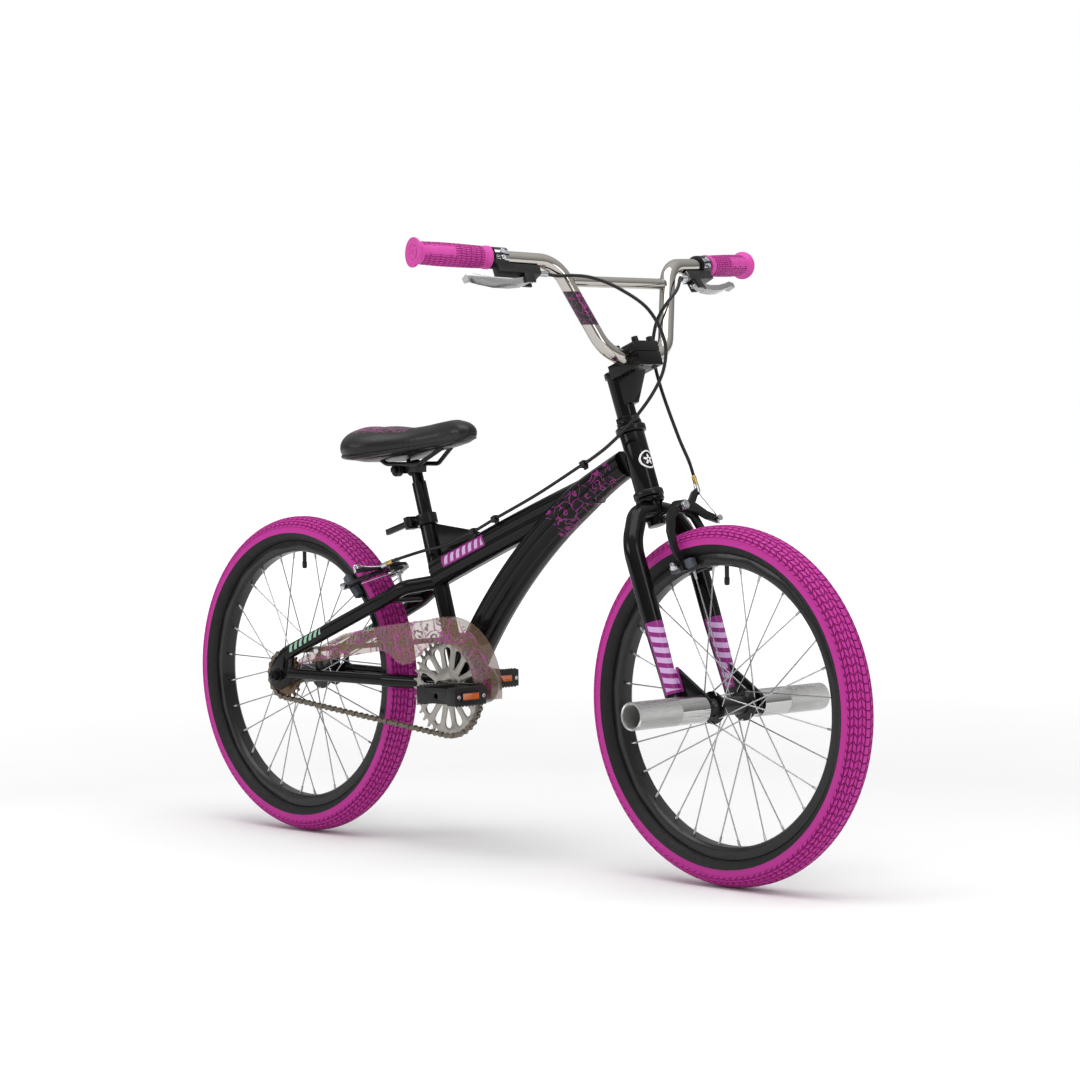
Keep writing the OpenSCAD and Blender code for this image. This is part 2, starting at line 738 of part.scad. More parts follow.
// ---------- handlebar ----------
grip_end = [3.7, bar_width / 2, 311.5];
bar_corner = [50, 116, 284];
grip_dir = unit(grip_end - bar_corner);
half_bar = rounded([[bar_x, 0, bar_z], [bar_x, 58, bar_z], bar_corner, grip_end - grip_dir * 4], [50, 45], 6);
bar_path = concat([for (i = [len(half_bar) - 1:-1:1]) [half_bar[i][0], -half_bar[i][1], half_bar[i][2]]], half_bar);
module handlebar() {
    color("#b5b3b0") steer() {
        pipe(bar_path, disc(bar_r, 18), disc(bar_r - 1.8, 18), [1, 0, 0]);
        translate([bar_x + 1, 0, 256]) across(8, 198);
    }
}
module on_grip(t) {
    p = grip_end - grip_dir * t;
    translate(p) rotate([0, 0, atan2(grip_dir[1], grip_dir[0])])
        rotate([0, 90 - asin(grip_dir[2]), 0]) rotate([180, 0, 0]) children();
}
module grips() {
    color("#c5359a") steer() both_sides() on_grip(0) difference() {
        rotate_extrude($fn = 64) polygon([
            [0, 3], [12, 2], [18.5, 0], [21, 1], [21, 3.5], [17, 7], [15.2, 10], [16, 30], [16.4, 60], [15.6, 100],
            [15.2, 112], [16.4, 113], [16.4, 121], [0, 121]
        ]);
        translate([0, 0, 4]) cylinder(r = bar_r, h = 130, $fn = 48);
    }
}

// brake lever, drawn on the left side of the bar and mirrored for the right
lever_turn = -80;
lever_eye = [0, 33, 52];
module lever_mount_left() {
    on_grip(124) rotate([0, 0, lever_turn]) {
        difference() {
            union() {
                cylinder(r = 15.5, h = 22, $fn = 48);
                translate([-8, 12, 4]) cube([16, 14, 68]);
                for (x = [-8, 5]) translate([x, 20, 44]) cube([3, 20, 16]);
            }
            translate([0, 0, -1]) cylinder(r = bar_r, h = 40, $fn = 48);
        }
        translate(lever_eye) rotate([0, 90, 0]) cylinder(r = 2.5, h = 16, center = true, $fn = 24);
        translate([0, 21, 72]) difference() {
            cylinder(r = 4.5, h = 14, $fn = 32);
            translate([0, 0, 11]) cylinder(r = 3.5, h = 4, $fn = 32);
        }
    }
}
module lever_mounts() {
    color("#17171a") steer() both_sides() lever_mount_left();
}
// the lever's outline runs along -z and y: the root turns on the pin, the blade follows the grip
module lever_left() {
    on_grip(124) rotate([0, 0, lever_turn]) difference() {
        rotate([0, 90, 0]) {
            linear_extrude(9.4, center = true)
                polygon(strip([[-60, 32], [-52, 33], [-38, 38], [-28, 40]], [8, 11, 9, 9]));
            linear_extrude(13, center = true)
                polygon(strip([[-39, 38], [-20, 41], [4, 41], [26, 38], [40, 35], [50, 38]], [9, 9, 9, 8, 8, 8]));
        }
        translate(lever_eye) rotate([0, 90, 0]) cylinder(r = 2.56, h = 30, center = true, $fn = 24);
    }
}
module left_brake_lever() {
    color("#c6c8cb") steer() lever_left();
}
module right_brake_lever() {
    color("#c6c8cb") steer() mirror([0, 1, 0]) lever_left();
}

// ---------- front axle and pegs ----------
module front_axle() {
    color("#26262a") translate([front_x, 0, axle_z]) {
        across(axle_r, 152);
        both_sides() {
            translate([0, 75.1, 0]) rotate([90, 0, 0]) difference() {
                hexagon(15, 8);
                translate([0, 0, -1]) cylinder(r = axle_r, h = 10, $fn = 32);
            }
            translate([0, 57, 0]) rotate([90, 0, 0]) difference() {
                cylinder(r = 12, h = 2, $fn = 32);
                translate([0, 0, -1]) cylinder(r = axle_r, h = 10, $fn = 32);
            }
            translate([0, 48.5, 0]) rotate([90, 0, 0]) difference() {
                hexagon(15, 6);
                translate([0, 0, -1]) cylinder(r = axle_r, h = 10, $fn = 32);
            }
        }
    }
}
module front_pegs() {
    color("#c3c5c8") translate([front_x, 0, axle_z]) both_sides() translate([0, 57, 0]) rotate([-90, 0, 0])
        difference() {
            cylinder(d = peg_d, h = peg_len, $fn = 64);
            translate([0, 0, 10]) cylinder(d = peg_d - 6, h = peg_len, $fn = 64);
            translate([0, 0, -1]) cylinder(r = axle_r + 0.1, h = 20, $fn = 32);
            translate([0, 0, 54]) rotate([90, 0, 0]) cylinder(r = 3, h = 30, $fn = 24);
        }
}

// ---------- brakes: drawn about the pivot, the bolt runs along x ----------
module arm_plate(x, path, widths) {
    translate([x, 0, 0]) rotate([90, 0, 90]) linear_extrude(5) polygon(strip(path, widths));
}
clamp_path = [[-29, -94], [-31, -80], [-37, -60], [-36, -36], [-26, -12], [-10, 1], [8, 2], [28, -3], [46, -14], [68, -22]];
stop_path = [[29, -94], [31, -80], [37, -60], [36, -36], [26, -12], [10, 0], [-6, 1]];
stop_horn = [[14, 0], [28, 6], [40, 20], [48, 24]];
module pad_at(y, turn) {
    s = sign(y);
    translate([2, y, -brake_reach]) rotate([0, turn, 0]) {
        translate([0, -s * 9, 0]) cube([42, 11, 11], center = true);
        rotate([90, 0, 0]) cylinder(r = 3, h = 30, center = true, $fn = 24);
        translate([0, s * 11, 0]) rotate([90, 0, 0]) cylinder(d = 11, h = 7, center = true, $fn = 32);
    }
}
module clamp_arm(turn) {
    color("#141416") difference() {
        arm_plate(6, clamp_path, [9, 12, 12, 13, 14, 16, 16, 14, 12, 10]);
        rotate([0, 90, 0]) cylinder(r = 3.1, h = 60, center = true, $fn = 32);
    }
    color("#565a62") difference() {
        pad_at(-31, turn);
        arm_plate(6, clamp_path, [9, 12, 12, 13, 14, 16, 16, 14, 12, 10]);
    }
    color("#c8cace") translate([11.05, 64, -21]) rotate([0, 90, 0]) cylinder(d = 9, h = 7, $fn = 32);
}
// the pads are turned on their posts to lie along the rim
module stop_arm(turn) {
    color("#141416") difference() {
        union() {
            arm_plate(0, stop_path, [9, 12, 12, 13, 14, 16, 14]);
            arm_plate(0, stop_horn, [12, 11, 10, 10]);
        }
        rotate([0, 90, 0]) cylinder(r = 3.1, h = 60, center = true, $fn = 32);
    }
    color("#565a62") difference() {
        pad_at(31, turn);
        arm_plate(0, stop_path, [9, 12, 12, 13, 14, 16, 14]);
    }
    color("#c8cace") translate([2.5, 49, 22]) difference() {
        cylinder(r = 4, h = 12, $fn = 32);
        translate([0, 0, -1]) cylinder(r = 1, h = 20, $fn = 24);
    }
}
module brake_bolt(back) {
    rotate([0, 90, 0]) {
        translate([0, 0, -back]) cylinder(r = 3, h = back + 17, $fn = 32);
        translate([0, 0, 11.1]) cylinder(d = 12, h = 5, $fn = 32);
        translate([0, 0, -7.1]) cylinder(d = 12, h = 6.9, $fn = 32);
    }
}
module at_front_brake() {
    steer() translate([brake_x, 0, brake_z]) children();
}
module at_rear_brake() {
    translate(rear_pivot) rotate([0, rear_tilt, 0]) mirror([1, 0, 0]) mirror([0, 1, 0]) children();
}
rear_pad_turn = 25.5;
module front_clamp_arm() { at_front_brake() clamp_arm(0); }
module front_stop_arm() { at_front_brake() stop_arm(0); }
module rear_clamp_arm() { at_rear_brake() clamp_arm(rear_pad_turn); }
module rear_stop_arm() { at_rear_brake() stop_arm(rear_pad_turn); }
module front_brake_bolt() { color("#c8cace") at_front_brake() brake_bolt(62); }
module rear_brake_bolt() { color("#c8cace") at_rear_brake() brake_bolt(50); }

// ---------- wheels ----------
bead_r = 205;
tyre_out = [[bead_r, 11.8], [213.3, 11.8], [215, 16], [219, 21.5], [226, 25.3], [233, 25.5], [240, 23],
    [246, 18], [250.5, 11], [252.6, 5]];
tyre_in = [[bead_r, 8.8], [214, 8.8], [217.5, 14], [221, 18.8], [227, 22.6], [233, 22.8], [238.5, 20.6],
    [243, 16], [246.5, 10], [248.4, 5]];
function back(p) = [for (i = [len(p) - 1:-1:0]) [p[i][0], -p[i][1]]];
function flip(p) = [for (i = [len(p) - 1:-1:0]) p[i]];
function under(p) = [for (q = p) [q[0], -q[1]]];
grow = tyre_r - 253;
function moved(p) = [for (q = p) [q[0] + (q[0] > 230 ? grow : 0), q[1]]];
module tyre() {
    turned(concat(moved(tyre_out), [[tyre_r, 0]], moved(back(tyre_out)), moved(under(tyre_in)),
        [[248.8 + grow, 0]], moved(flip(tyre_in))));
}
module inner_tube() {
    rotate([90, 0, 0]) rotate_extrude($fn = 96) translate([229.5, 0]) difference() {
        circle(r = 15.2, $fn = 32);
        circle(r = 14, $fn = 32);
    }
    translate([0, 0, 178]) cylinder(r = 3.2, h = 36.6, $fn = 24);
}
rim_out = [[213, 14], [200, 14], [196, 9]];
rim_in = [[213, 12], [204.8, 12], [202, 8]];
module rim() {
    difference() {
        turned(concat(rim_out, back(rim_out), under(rim_in), flip(rim_in)));
        translate([0, 0, 190]) cylinder(r = 3.4, h = 20, $fn = 24);
    }
}
flange_y = 32;
module spokes(flange_r) {
    for (i = [0:spoke_count - 1]) {
        side = i % 2 == 0 ? 1 : -1;
        lean = floor(i / 2) % 2 == 0 ? 1 : -1;
        a = 360 * (i + 0.5) / spoke_count;
        f = a + lean * 62;
        y = side * (flange_y + lean * 2.4);
        rod([flange_r * sin(f), y, flange_r * cos(f)], [196 * sin(a), side * 3, 196 * cos(a)], spoke_d / 2);
    }
}
module hub(flange_r, barrel_r, w) {
    turned([[axle_r + gap, w], [9, w], [12, w - 5], [barrel_r, flange_y + 1.2], [flange_r, flange_y + 1.2],
        [flange_r, flange_y - 1.2], [barrel_r, flange_y - 3], [barrel_r, -flange_y + 3], [flange_r, -flange_y + 1.2],
        [flange_r, -flange_y - 1.2], [barrel_r, -flange_y - 1.2], [12, 5 - w], [9, -w], [axle_r + gap, -w],
        [axle_r + gap, 8 - w], [9, 10 - w], [9, w - 10], [axle_r + gap, w - 8]]);
}
module at_front() { translate([front_x, 0, axle_z]) children(); }
module at_rear() { translate([rear_x, 0, axle_z]) children(); }
module front_tyre() { color("#b8288c") at_front() tyre(); }
module rear_tyre() { color("#b8288c") at_rear() tyre(); }
module front_tube() { color("#1a1a1a") at_front() inner_tube(); }
module rear_tube() { color("#1a1a1a") at_rear() inner_tube(); }
module front_rim() { color("#161618") at_front() rim(); }
module rear_rim() { color("#161618") at_rear() rim(); }
module front_spokes() { color("#c9ccd0") at_front() spokes(20); }
module rear_spokes() { color("#c9ccd0") at_rear() spokes(24); }
module front_hub() { color("#141416") at_front() hub(23, 13, 41); }
module rear_hub() {
    color("#141416") at_rear() {
        hub(27, 15, 44);
        translate([0, chain_y + 6.5, 0]) rotate([90, 0, 0]) difference() {
            cylinder(r = 19.05, h = 12, center = true, $fn = 64);
            cylinder(r = 12.5, h = 14, center = true, $fn = 64);
        }
    }
}

head_tube();
down_tube();
top_tube();
seat_tube();
bottom_bracket();
chain_stays();
seat_stays();
rear_dropouts();
headset_cups();
bracket_cups();
bearing_balls();
seat_clamp();
chain_guard();
guard_screws();
rear_axle();
rear_cable();
cable_clips();
rear_brake_bolt();
chain();
seat_post();
saddle_cover();
saddle_base();
saddle_rails();
saddle_clamp();
clamp_lever();
fork_steerer();
fork_legs();
headset_nuts();
stem();
stem_cap();
stem_bolts();
handlebar();
grips();
lever_mounts();
front_axle();
front_pegs();
front_brake_bolt();
front_cable();
cable_loop();
left_brake_lever();
right_brake_lever();
front_tyre();
front_tube();
front_rim();
front_spokes();
front_hub();
rear_tyre();
rear_tube();
rear_rim();
rear_spokes();
rear_hub();
freewheel();
crank();
chainring();
left_pedal();
right_pedal();
front_clamp_arm();
front_stop_arm();
rear_clamp_arm();
rear_stop_arm();
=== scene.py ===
import math

import bpy
from mathutils import Matrix, Vector


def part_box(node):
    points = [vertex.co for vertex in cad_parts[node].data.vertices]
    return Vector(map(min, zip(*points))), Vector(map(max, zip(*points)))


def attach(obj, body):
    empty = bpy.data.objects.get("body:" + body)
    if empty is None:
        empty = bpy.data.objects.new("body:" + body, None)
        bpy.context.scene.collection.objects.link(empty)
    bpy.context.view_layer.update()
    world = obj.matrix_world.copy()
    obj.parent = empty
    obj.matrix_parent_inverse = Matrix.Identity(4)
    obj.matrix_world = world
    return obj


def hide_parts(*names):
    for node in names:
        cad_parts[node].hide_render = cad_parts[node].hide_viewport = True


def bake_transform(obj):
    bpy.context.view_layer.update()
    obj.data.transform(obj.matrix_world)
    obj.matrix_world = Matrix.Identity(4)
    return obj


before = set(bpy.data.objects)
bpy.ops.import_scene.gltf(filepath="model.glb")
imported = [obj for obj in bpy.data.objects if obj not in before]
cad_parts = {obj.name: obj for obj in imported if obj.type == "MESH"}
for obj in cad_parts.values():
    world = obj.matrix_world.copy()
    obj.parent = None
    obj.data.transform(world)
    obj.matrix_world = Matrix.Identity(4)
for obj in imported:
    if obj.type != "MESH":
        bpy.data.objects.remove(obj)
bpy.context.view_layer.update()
print("stage: frame loaded,", len(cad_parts), "nodes")

# the bike's own lines, in metres and degrees
frameLines = {
    "frontAxle": (0.458, 0, 0.253),
    "rearAxle": (-0.458, 0, 0.253),
    "bracket": (-0.0724, 0, 0.253),
    "steerFoot": (0.29205, 0, 0.592),
    "steerLean": 20,
    "seatFoot": (-0.0884, 0, 0.253),
    "seatWay": (-0.2865, 0, 0.9581),
}
leanCos = math.cos(math.radians(frameLines["steerLean"]))
leanSin = math.sin(math.radians(frameLines["steerLean"]))
sideFlip = Matrix.Diagonal((1, -1, 1, 1))


def steerPoint(x, y, z):  # millimetres on the steering axis to metres on the bike
    footX, _, footZ = frameLines["steerFoot"]
    ahead, up = x * leanCos - z * leanSin, x * leanSin + z * leanCos
    return Vector((footX + ahead / 1000, y / 1000, footZ + up / 1000))


def steerWay(x, y, z):  # a direction in the steering axis frame
    return steerPoint(x, y, z) - steerPoint(0, 0, 0)


def seatPoint(along):  # millimetres up the seat tube from the bracket
    return Vector(frameLines["seatFoot"]) + Vector(frameLines["seatWay"]).normalized() * along / 1000


def metres(points):  # a list of points in millimetres
    return [tuple(v / 1000 for v in p) for p in points]


def roundedPath(points, radii, steps=10):  # straight runs with rounded corners
    points = [Vector(p) for p in points]
    path = [points[0]]
    for before, at, after, radius in zip(points, points[1:], points[2:], radii):
        u, v = (at - before).normalized(), (after - at).normalized()
        turn = u.angle(v)
        start = at - u * radius * math.tan(turn / 2)
        side = (v - u * u.dot(v)).normalized()
        for k in range(steps + 1):
            a = turn * k / steps
            path.append(start + u * radius * math.sin(a) + side * radius * (1 - math.cos(a)))
    return path + [points[-1]]


def between(a, b, c, d, t):  # from b to c on a curve that also heeds a and d
    return 0.5 * (2 * b + (c - a) * t + (2 * a - 5 * b + 4 * c - d) * t * t + (3 * b - a - 3 * c + d) * t**3)


def smoothPath(points, steps=8):  # a curve through every point
    points = [Vector(p) for p in points]
    path = []
    for i in range(len(points) - 1):
        a, d = points[max(i - 1, 0)], points[min(i + 2, len(points) - 1)]
        path += [between(a, points[i], points[i + 1], d, k / steps) for k in range(steps)]
    return path + [points[-1]]


def easeBetween(value, low, high):
    t = max(0, min(1, (value - low) / (high - low)))
    return t * t * (3 - 2 * t)


def mirrored(points):
    return [Vector((p[0], -p[1], p[2])) for p in points]


def clearChoice():
    if bpy.context.object and bpy.context.object.mode != "OBJECT":
        bpy.ops.object.mode_set(mode="OBJECT")
    bpy.ops.object.select_all(action="DESELECT")


def choose(*items):
    clearChoice()
    for item in items:
        item.select_set(True)
    bpy.context.view_layer.objects.active = items[0]


def linkNew(name, data):
    item = bpy.data.objects.new(name, data)
    bpy.context.scene.collection.objects.link(item)
    return item


def ownCopy(item, matrix):  # a moved copy with its own mesh
    one = linkNew(item.name, item.data.copy())
    one.data.transform(matrix)
    return one


def joinAll(items, name):
    choose(*items)
    bpy.ops.object.join()
    bpy.context.object.name = name
    return bpy.context.object


def editWhole(item):  # into edit mode with everything chosen
    choose(item)
    bpy.ops.object.mode_set(mode="EDIT")
    bpy.ops.mesh.select_all(action="SELECT")


def editFaces(item, test):  # into edit mode with only the faces that pass the test chosen
    choose(item)
    for part in (item.data.vertices, item.data.edges, item.data.polygons):
        part.foreach_set("select", [False] * len(part))
    for face in item.data.polygons:
        face.select = test(face)
    bpy.context.tool_settings.mesh_select_mode = (False, False, True)
    bpy.ops.object.mode_set(mode="EDIT")


def leaveEdit():
    bpy.context.tool_settings.mesh_select_mode = (True, False, False)
    bpy.ops.object.mode_set(mode="OBJECT")


def tidyMesh(item, merge=0.00002):
    editWhole(item)
    bpy.ops.mesh.remove_doubles(threshold=merge)
    bpy.ops.mesh.normals_make_consistent(inside=False)
    bpy.ops.object.mode_set(mode="OBJECT")


def settle(item):  # the object's place goes into its mesh
    choose(item)
    bpy.ops.object.transform_apply(location=True, rotation=True, scale=True)


def shapeWith(item, name, kind, **settings):  # a modifier is set and applied
    choose(item)
    modifier = item.modifiers.new(name, kind)
    for key, value in settings.items():
        setattr(modifier, key, value)
    bpy.ops.object.modifier_apply(modifier=name)


def addBevel(item, width, segments=2, angle=35):
    if width > 0:
        shapeWith(item, "softEdge", "BEVEL", width=width, segments=segments, limit_method="ANGLE",
                  angle_limit=math.radians(angle), miter_outer="MITER_ARC")


def smoothBy(item, angle=35):
    choose(item)
    bpy.ops.object.shade_smooth_by_angle(angle=math.radians(angle))


def dress(item, body, nodes, slotName, *finishes):
    item.data.materials.clear()
    for finish in finishes:
        item.data.materials.append(skins[finish])
    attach(item, body)
    if nodes:
        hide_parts(*nodes)


def paintWhere(item, index, test):  # faces whose middle passes the test take another of the piece's finishes
    for face in item.data.polygons:
        if test(face.center):
            face.material_index = index


def softCopy(node, name, width=0.0008, segments=2, angle=35):  # a CAD node's shape with its edges eased
    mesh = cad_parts[node].data.copy()
    item = linkNew(name, mesh)
    choose(item)
    if mesh.has_custom_normals:
        bpy.ops.mesh.customdata_custom_splitnormals_clear()
    editWhole(item)
    bpy.ops.mesh.remove_doubles(threshold=0.00001)
    bpy.ops.mesh.dissolve_limited(angle_limit=math.radians(0.8))
    bpy.ops.object.mode_set(mode="OBJECT")
    addBevel(item, width, segments, angle)
    smoothBy(item)
    return item


def dressCopies(body, rows):  # pieces that keep the CAD shape: node, name, bevel, its segments, slot, finish
    for node, name, width, segments, slotName, finish in rows:
        dress(softCopy(node, name, width, segments), body, [node], slotName, finish)


def tubePiece(name, points, radius, sides=4, sizes=None, capped=True, outline=None):
    clearChoice()
    bpy.ops.curve.primitive_bezier_curve_add(location=(0, 0, 0))
    item = bpy.context.object
    item.name = name
    curve = item.data
    curve.dimensions = "3D"
    curve.resolution_u = 1
    curve.twist_mode = "Z_UP" if outline else "MINIMUM"
    line = curve.splines[0]
    line.bezier_points.add(len(points) - 2)
    for i, point in enumerate(points):
        knot = line.bezier_points[i]
        knot.handle_left_type = knot.handle_right_type = "VECTOR"
        knot.co = point
        knot.radius = sizes[i] if sizes else 1
    if outline:
        curve.bevel_mode = "OBJECT"
        curve.bevel_object = outline
    else:
        curve.bevel_depth = radius
        curve.bevel_resolution = sides
    curve.use_fill_caps = capped
    choose(item)
    bpy.ops.object.convert(target="MESH")
    item = bpy.context.object
    tidyMesh(item)
    return item


def formedTube(name, points, profile, sizes=None):  # a tube with a shaped, smooth section
    clearChoice()
    bpy.ops.curve.primitive_bezier_circle_add(location=(0, 0, 0))
    outline = bpy.context.object
    line = outline.data.splines[0]
    line.bezier_points.add(len(profile) - 4)
    for knot, (high, wide) in zip(line.bezier_points, metres(profile)):
        knot.handle_left_type = knot.handle_right_type = "AUTO"
        knot.co = (wide, high, 0)
    line.use_cyclic_u = True
    outline.data.resolution_u = 4
    tube = tubePiece(name, points, 0, outline=outline, sizes=sizes)
    clearChoice()
    bpy.data.objects.remove(outline)
    return tube


def standing(place, way):  # turns Z along way, at place
    return Matrix.Translation(place) @ Vector(way).to_track_quat("Z", "Y").to_matrix().to_4x4()


# an outline of radius and height turned about its axis, and then stood at place along way
def turnedPiece(name, outline, place=None, way=None, steps=48):
    clearChoice()
    bpy.ops.mesh.primitive_circle_add(vertices=len(outline), radius=0.01, location=(0, 0, 0))
    item = bpy.context.object
    item.name = name
    for vertex, (radius, height) in zip(item.data.vertices, outline):
        vertex.co = (radius, 0, height)
    editWhole(item)
    bpy.ops.mesh.spin(steps=steps, angle=2 * math.pi, center=(0, 0, 0), axis=(0, 0, 1), use_auto_merge=True)
    bpy.ops.mesh.select_all(action="SELECT")
    bpy.ops.mesh.remove_doubles(threshold=0.00001)
    bpy.ops.mesh.normals_make_consistent(inside=False)
    bpy.ops.object.mode_set(mode="OBJECT")
    if place is not None:
        item.matrix_world = standing(place, way)
        settle(item)
    return item


def platePiece(points, way):  # a flat outline given its thickness along way
    clearChoice()
    bpy.ops.mesh.primitive_circle_add(vertices=len(points), radius=0.01, fill_type="NGON", location=(0, 0, 0))
    plate = bpy.context.object
    for vertex, point in zip(plate.data.vertices, points):
        vertex.co = point
    editWhole(plate)
    bpy.ops.mesh.extrude_region_move(TRANSFORM_OT_translate={"value": way})
    bpy.ops.object.mode_set(mode="OBJECT")
    tidyMesh(plate)
    return plate


def boltHead(place, way, radius, height, socket=0.5):  # round head with a recess in its end
    clearChoice()
    bpy.ops.mesh.primitive_cylinder_add(vertices=24, radius=radius, depth=height, location=(0, 0, height / 2))
    item = bpy.context.object
    settle(item)
    editFaces(item, lambda face: face.center.z > height * 0.99)
    bpy.ops.mesh.inset(thickness=radius * (1 - socket))
    bpy.ops.mesh.extrude_region_move(TRANSFORM_OT_translate={"value": (0, 0, -height * 0.6)})
    leaveEdit()
    addBevel(item, radius * 0.12, 2, 50)
    item.matrix_world = standing(place, way)
    settle(item)
    return item


def weldBead(centre, way, radius, wire=0.0016):  # raised ring of weld where two tubes meet
    turn = Vector(way).to_track_quat("Z", "Y").to_matrix()
    angles = [2 * math.pi * k / 40 for k in range(41)]
    ring = [centre + turn @ Vector((radius * math.cos(a), radius * math.sin(a), 0)) for a in angles]
    return tubePiece("bead", ring, wire, 2, capped=False)


class NodeTree:  # adds nodes and wires to one node tree
    def __init__(self, tree):
        self.tree, self.nodes, self.links = tree, tree.nodes, tree.links

    def feed(self, socket, value):  # a wire is linked, anything else becomes the socket's own value
        if hasattr(value, "is_linked"):
            self.links.new(value, socket)
        else:
            socket.default_value = value

    def node(self, kind, wires=(), **settings):
        item = self.nodes.new("ShaderNode" + kind)
        for key, value in settings.items():
            setattr(item, key, value)
        for name in wires:
            self.feed(item.inputs[name], wires[name])
        return item

    def math(self, operation, *values):
        return self.node("Math", dict(enumerate(values)), operation=operation).outputs[0]

    def vector(self, operation, *values):
        return self.node("VectorMath", dict(enumerate(values)), operation=operation).outputs

    def parts(self, vector):
        return self.node("SeparateXYZ", {0: vector}).outputs

    def ramp(self, value, fromMin, fromMax, toMin, toMax):
        wires = {"Value": value, "From Min": fromMin, "From Max": fromMax, "To Min": toMin, "To Max": toMax}
        return self.node("MapRange", wires).outputs[0]

    def group(self, tree, **wires):
        item = self.node("Group", node_tree=tree)
        for name, value in wires.items():
            self.feed(item.inputs[name], value)
        return item.outputs


def newGroup(name, inputs, outputs):  # a shared effect, with its named sockets
    tree = bpy.data.node_groups.new(name, "ShaderNodeTree")
    for way, sockets in (("INPUT", inputs), ("OUTPUT", outputs)):
        for socket, kind in sockets:
            tree.interface.new_socket(socket, in_out=way, socket_type="NodeSocket" + kind)
    return NodeTree(tree), tree.nodes.new("NodeGroupInput").outputs, tree.nodes.new("NodeGroupOutput").inputs


def makeGrainGroup():
    inputs = [("Vector", "Vector"), ("Scale", "Float"), ("Low", "Float"), ("High", "Float")]
    outputs = [("Height", "Float"), ("Roughness", "Float"), ("Shade", "Float")]
    grain, given, end = newGroup("surfaceGrain", inputs, outputs)
    wide = grain.math("MULTIPLY", given["Scale"], 0.07)
    fine = grain.node("TexNoise", {"Vector": given["Vector"], "Scale": given["Scale"], "Detail": 6})
    broad = grain.node("TexNoise", {"Vector": given["Vector"], "Scale": wide, "Detail": 4, "Roughness": 0.65})
    grain.feed(end["Height"], fine.outputs["Fac"])
    grain.feed(end["Roughness"], grain.ramp(broad.outputs["Fac"], 0.3, 0.7, given["Low"], given["High"]))
    grain.feed(end["Shade"], broad.outputs["Fac"])
    return grain.tree


def makeVineGroup():  # thin curling lines with ringed blooms
    inputs = [("Vector", "Vector"), ("Scale", "Float"), ("Width", "Float")]
    vine, given, end = newGroup("vineLines", inputs, [("Lines", "Float"), ("Blooms", "Float")])
    bend = vine.node("TexNoise", {"Vector": given["Vector"], "Scale": 42})
    pushed = vine.vector("MULTIPLY_ADD", bend.outputs["Color"], (0.022, 0.022, 0.022), given["Vector"])[0]
    wires = {"Vector": pushed, "Scale": given["Scale"]}
    edges = vine.node("TexVoronoi", wires, feature="DISTANCE_TO_EDGE").outputs["Distance"]
    seeds = vine.node("TexVoronoi", wires).outputs["Distance"]
    petals = vine.math("GREATER_THAN", vine.math("SINE", vine.math("MULTIPLY", seeds, 26)), 0.35)
    vine.feed(end["Lines"], vine.math("LESS_THAN", edges, given["Width"]))
    vine.feed(end["Blooms"], vine.math("MULTIPLY", petals, vine.math("LESS_THAN", seeds, 0.33)))
    return vine.tree


def makeBoxGroup():  # one inside a box of the given half sizes, centred on the vector's zero
    box, given, end = newGroup("insideBox", [("Vector", "Vector"), ("Half", "Vector")], [("Mask", "Float")])
    room = box.parts(box.vector("SUBTRACT", given["Half"], box.vector("ABSOLUTE", given["Vector"])[0])[0])
    least = box.math("MINIMUM", box.math("MINIMUM", room[0], room[1]), room[2])
    box.feed(end["Mask"], box.math("GREATER_THAN", least, 0))
    return box.tree


grainGroup, vineGroup, boxGroup = makeGrainGroup(), makeVineGroup(), makeBoxGroup()


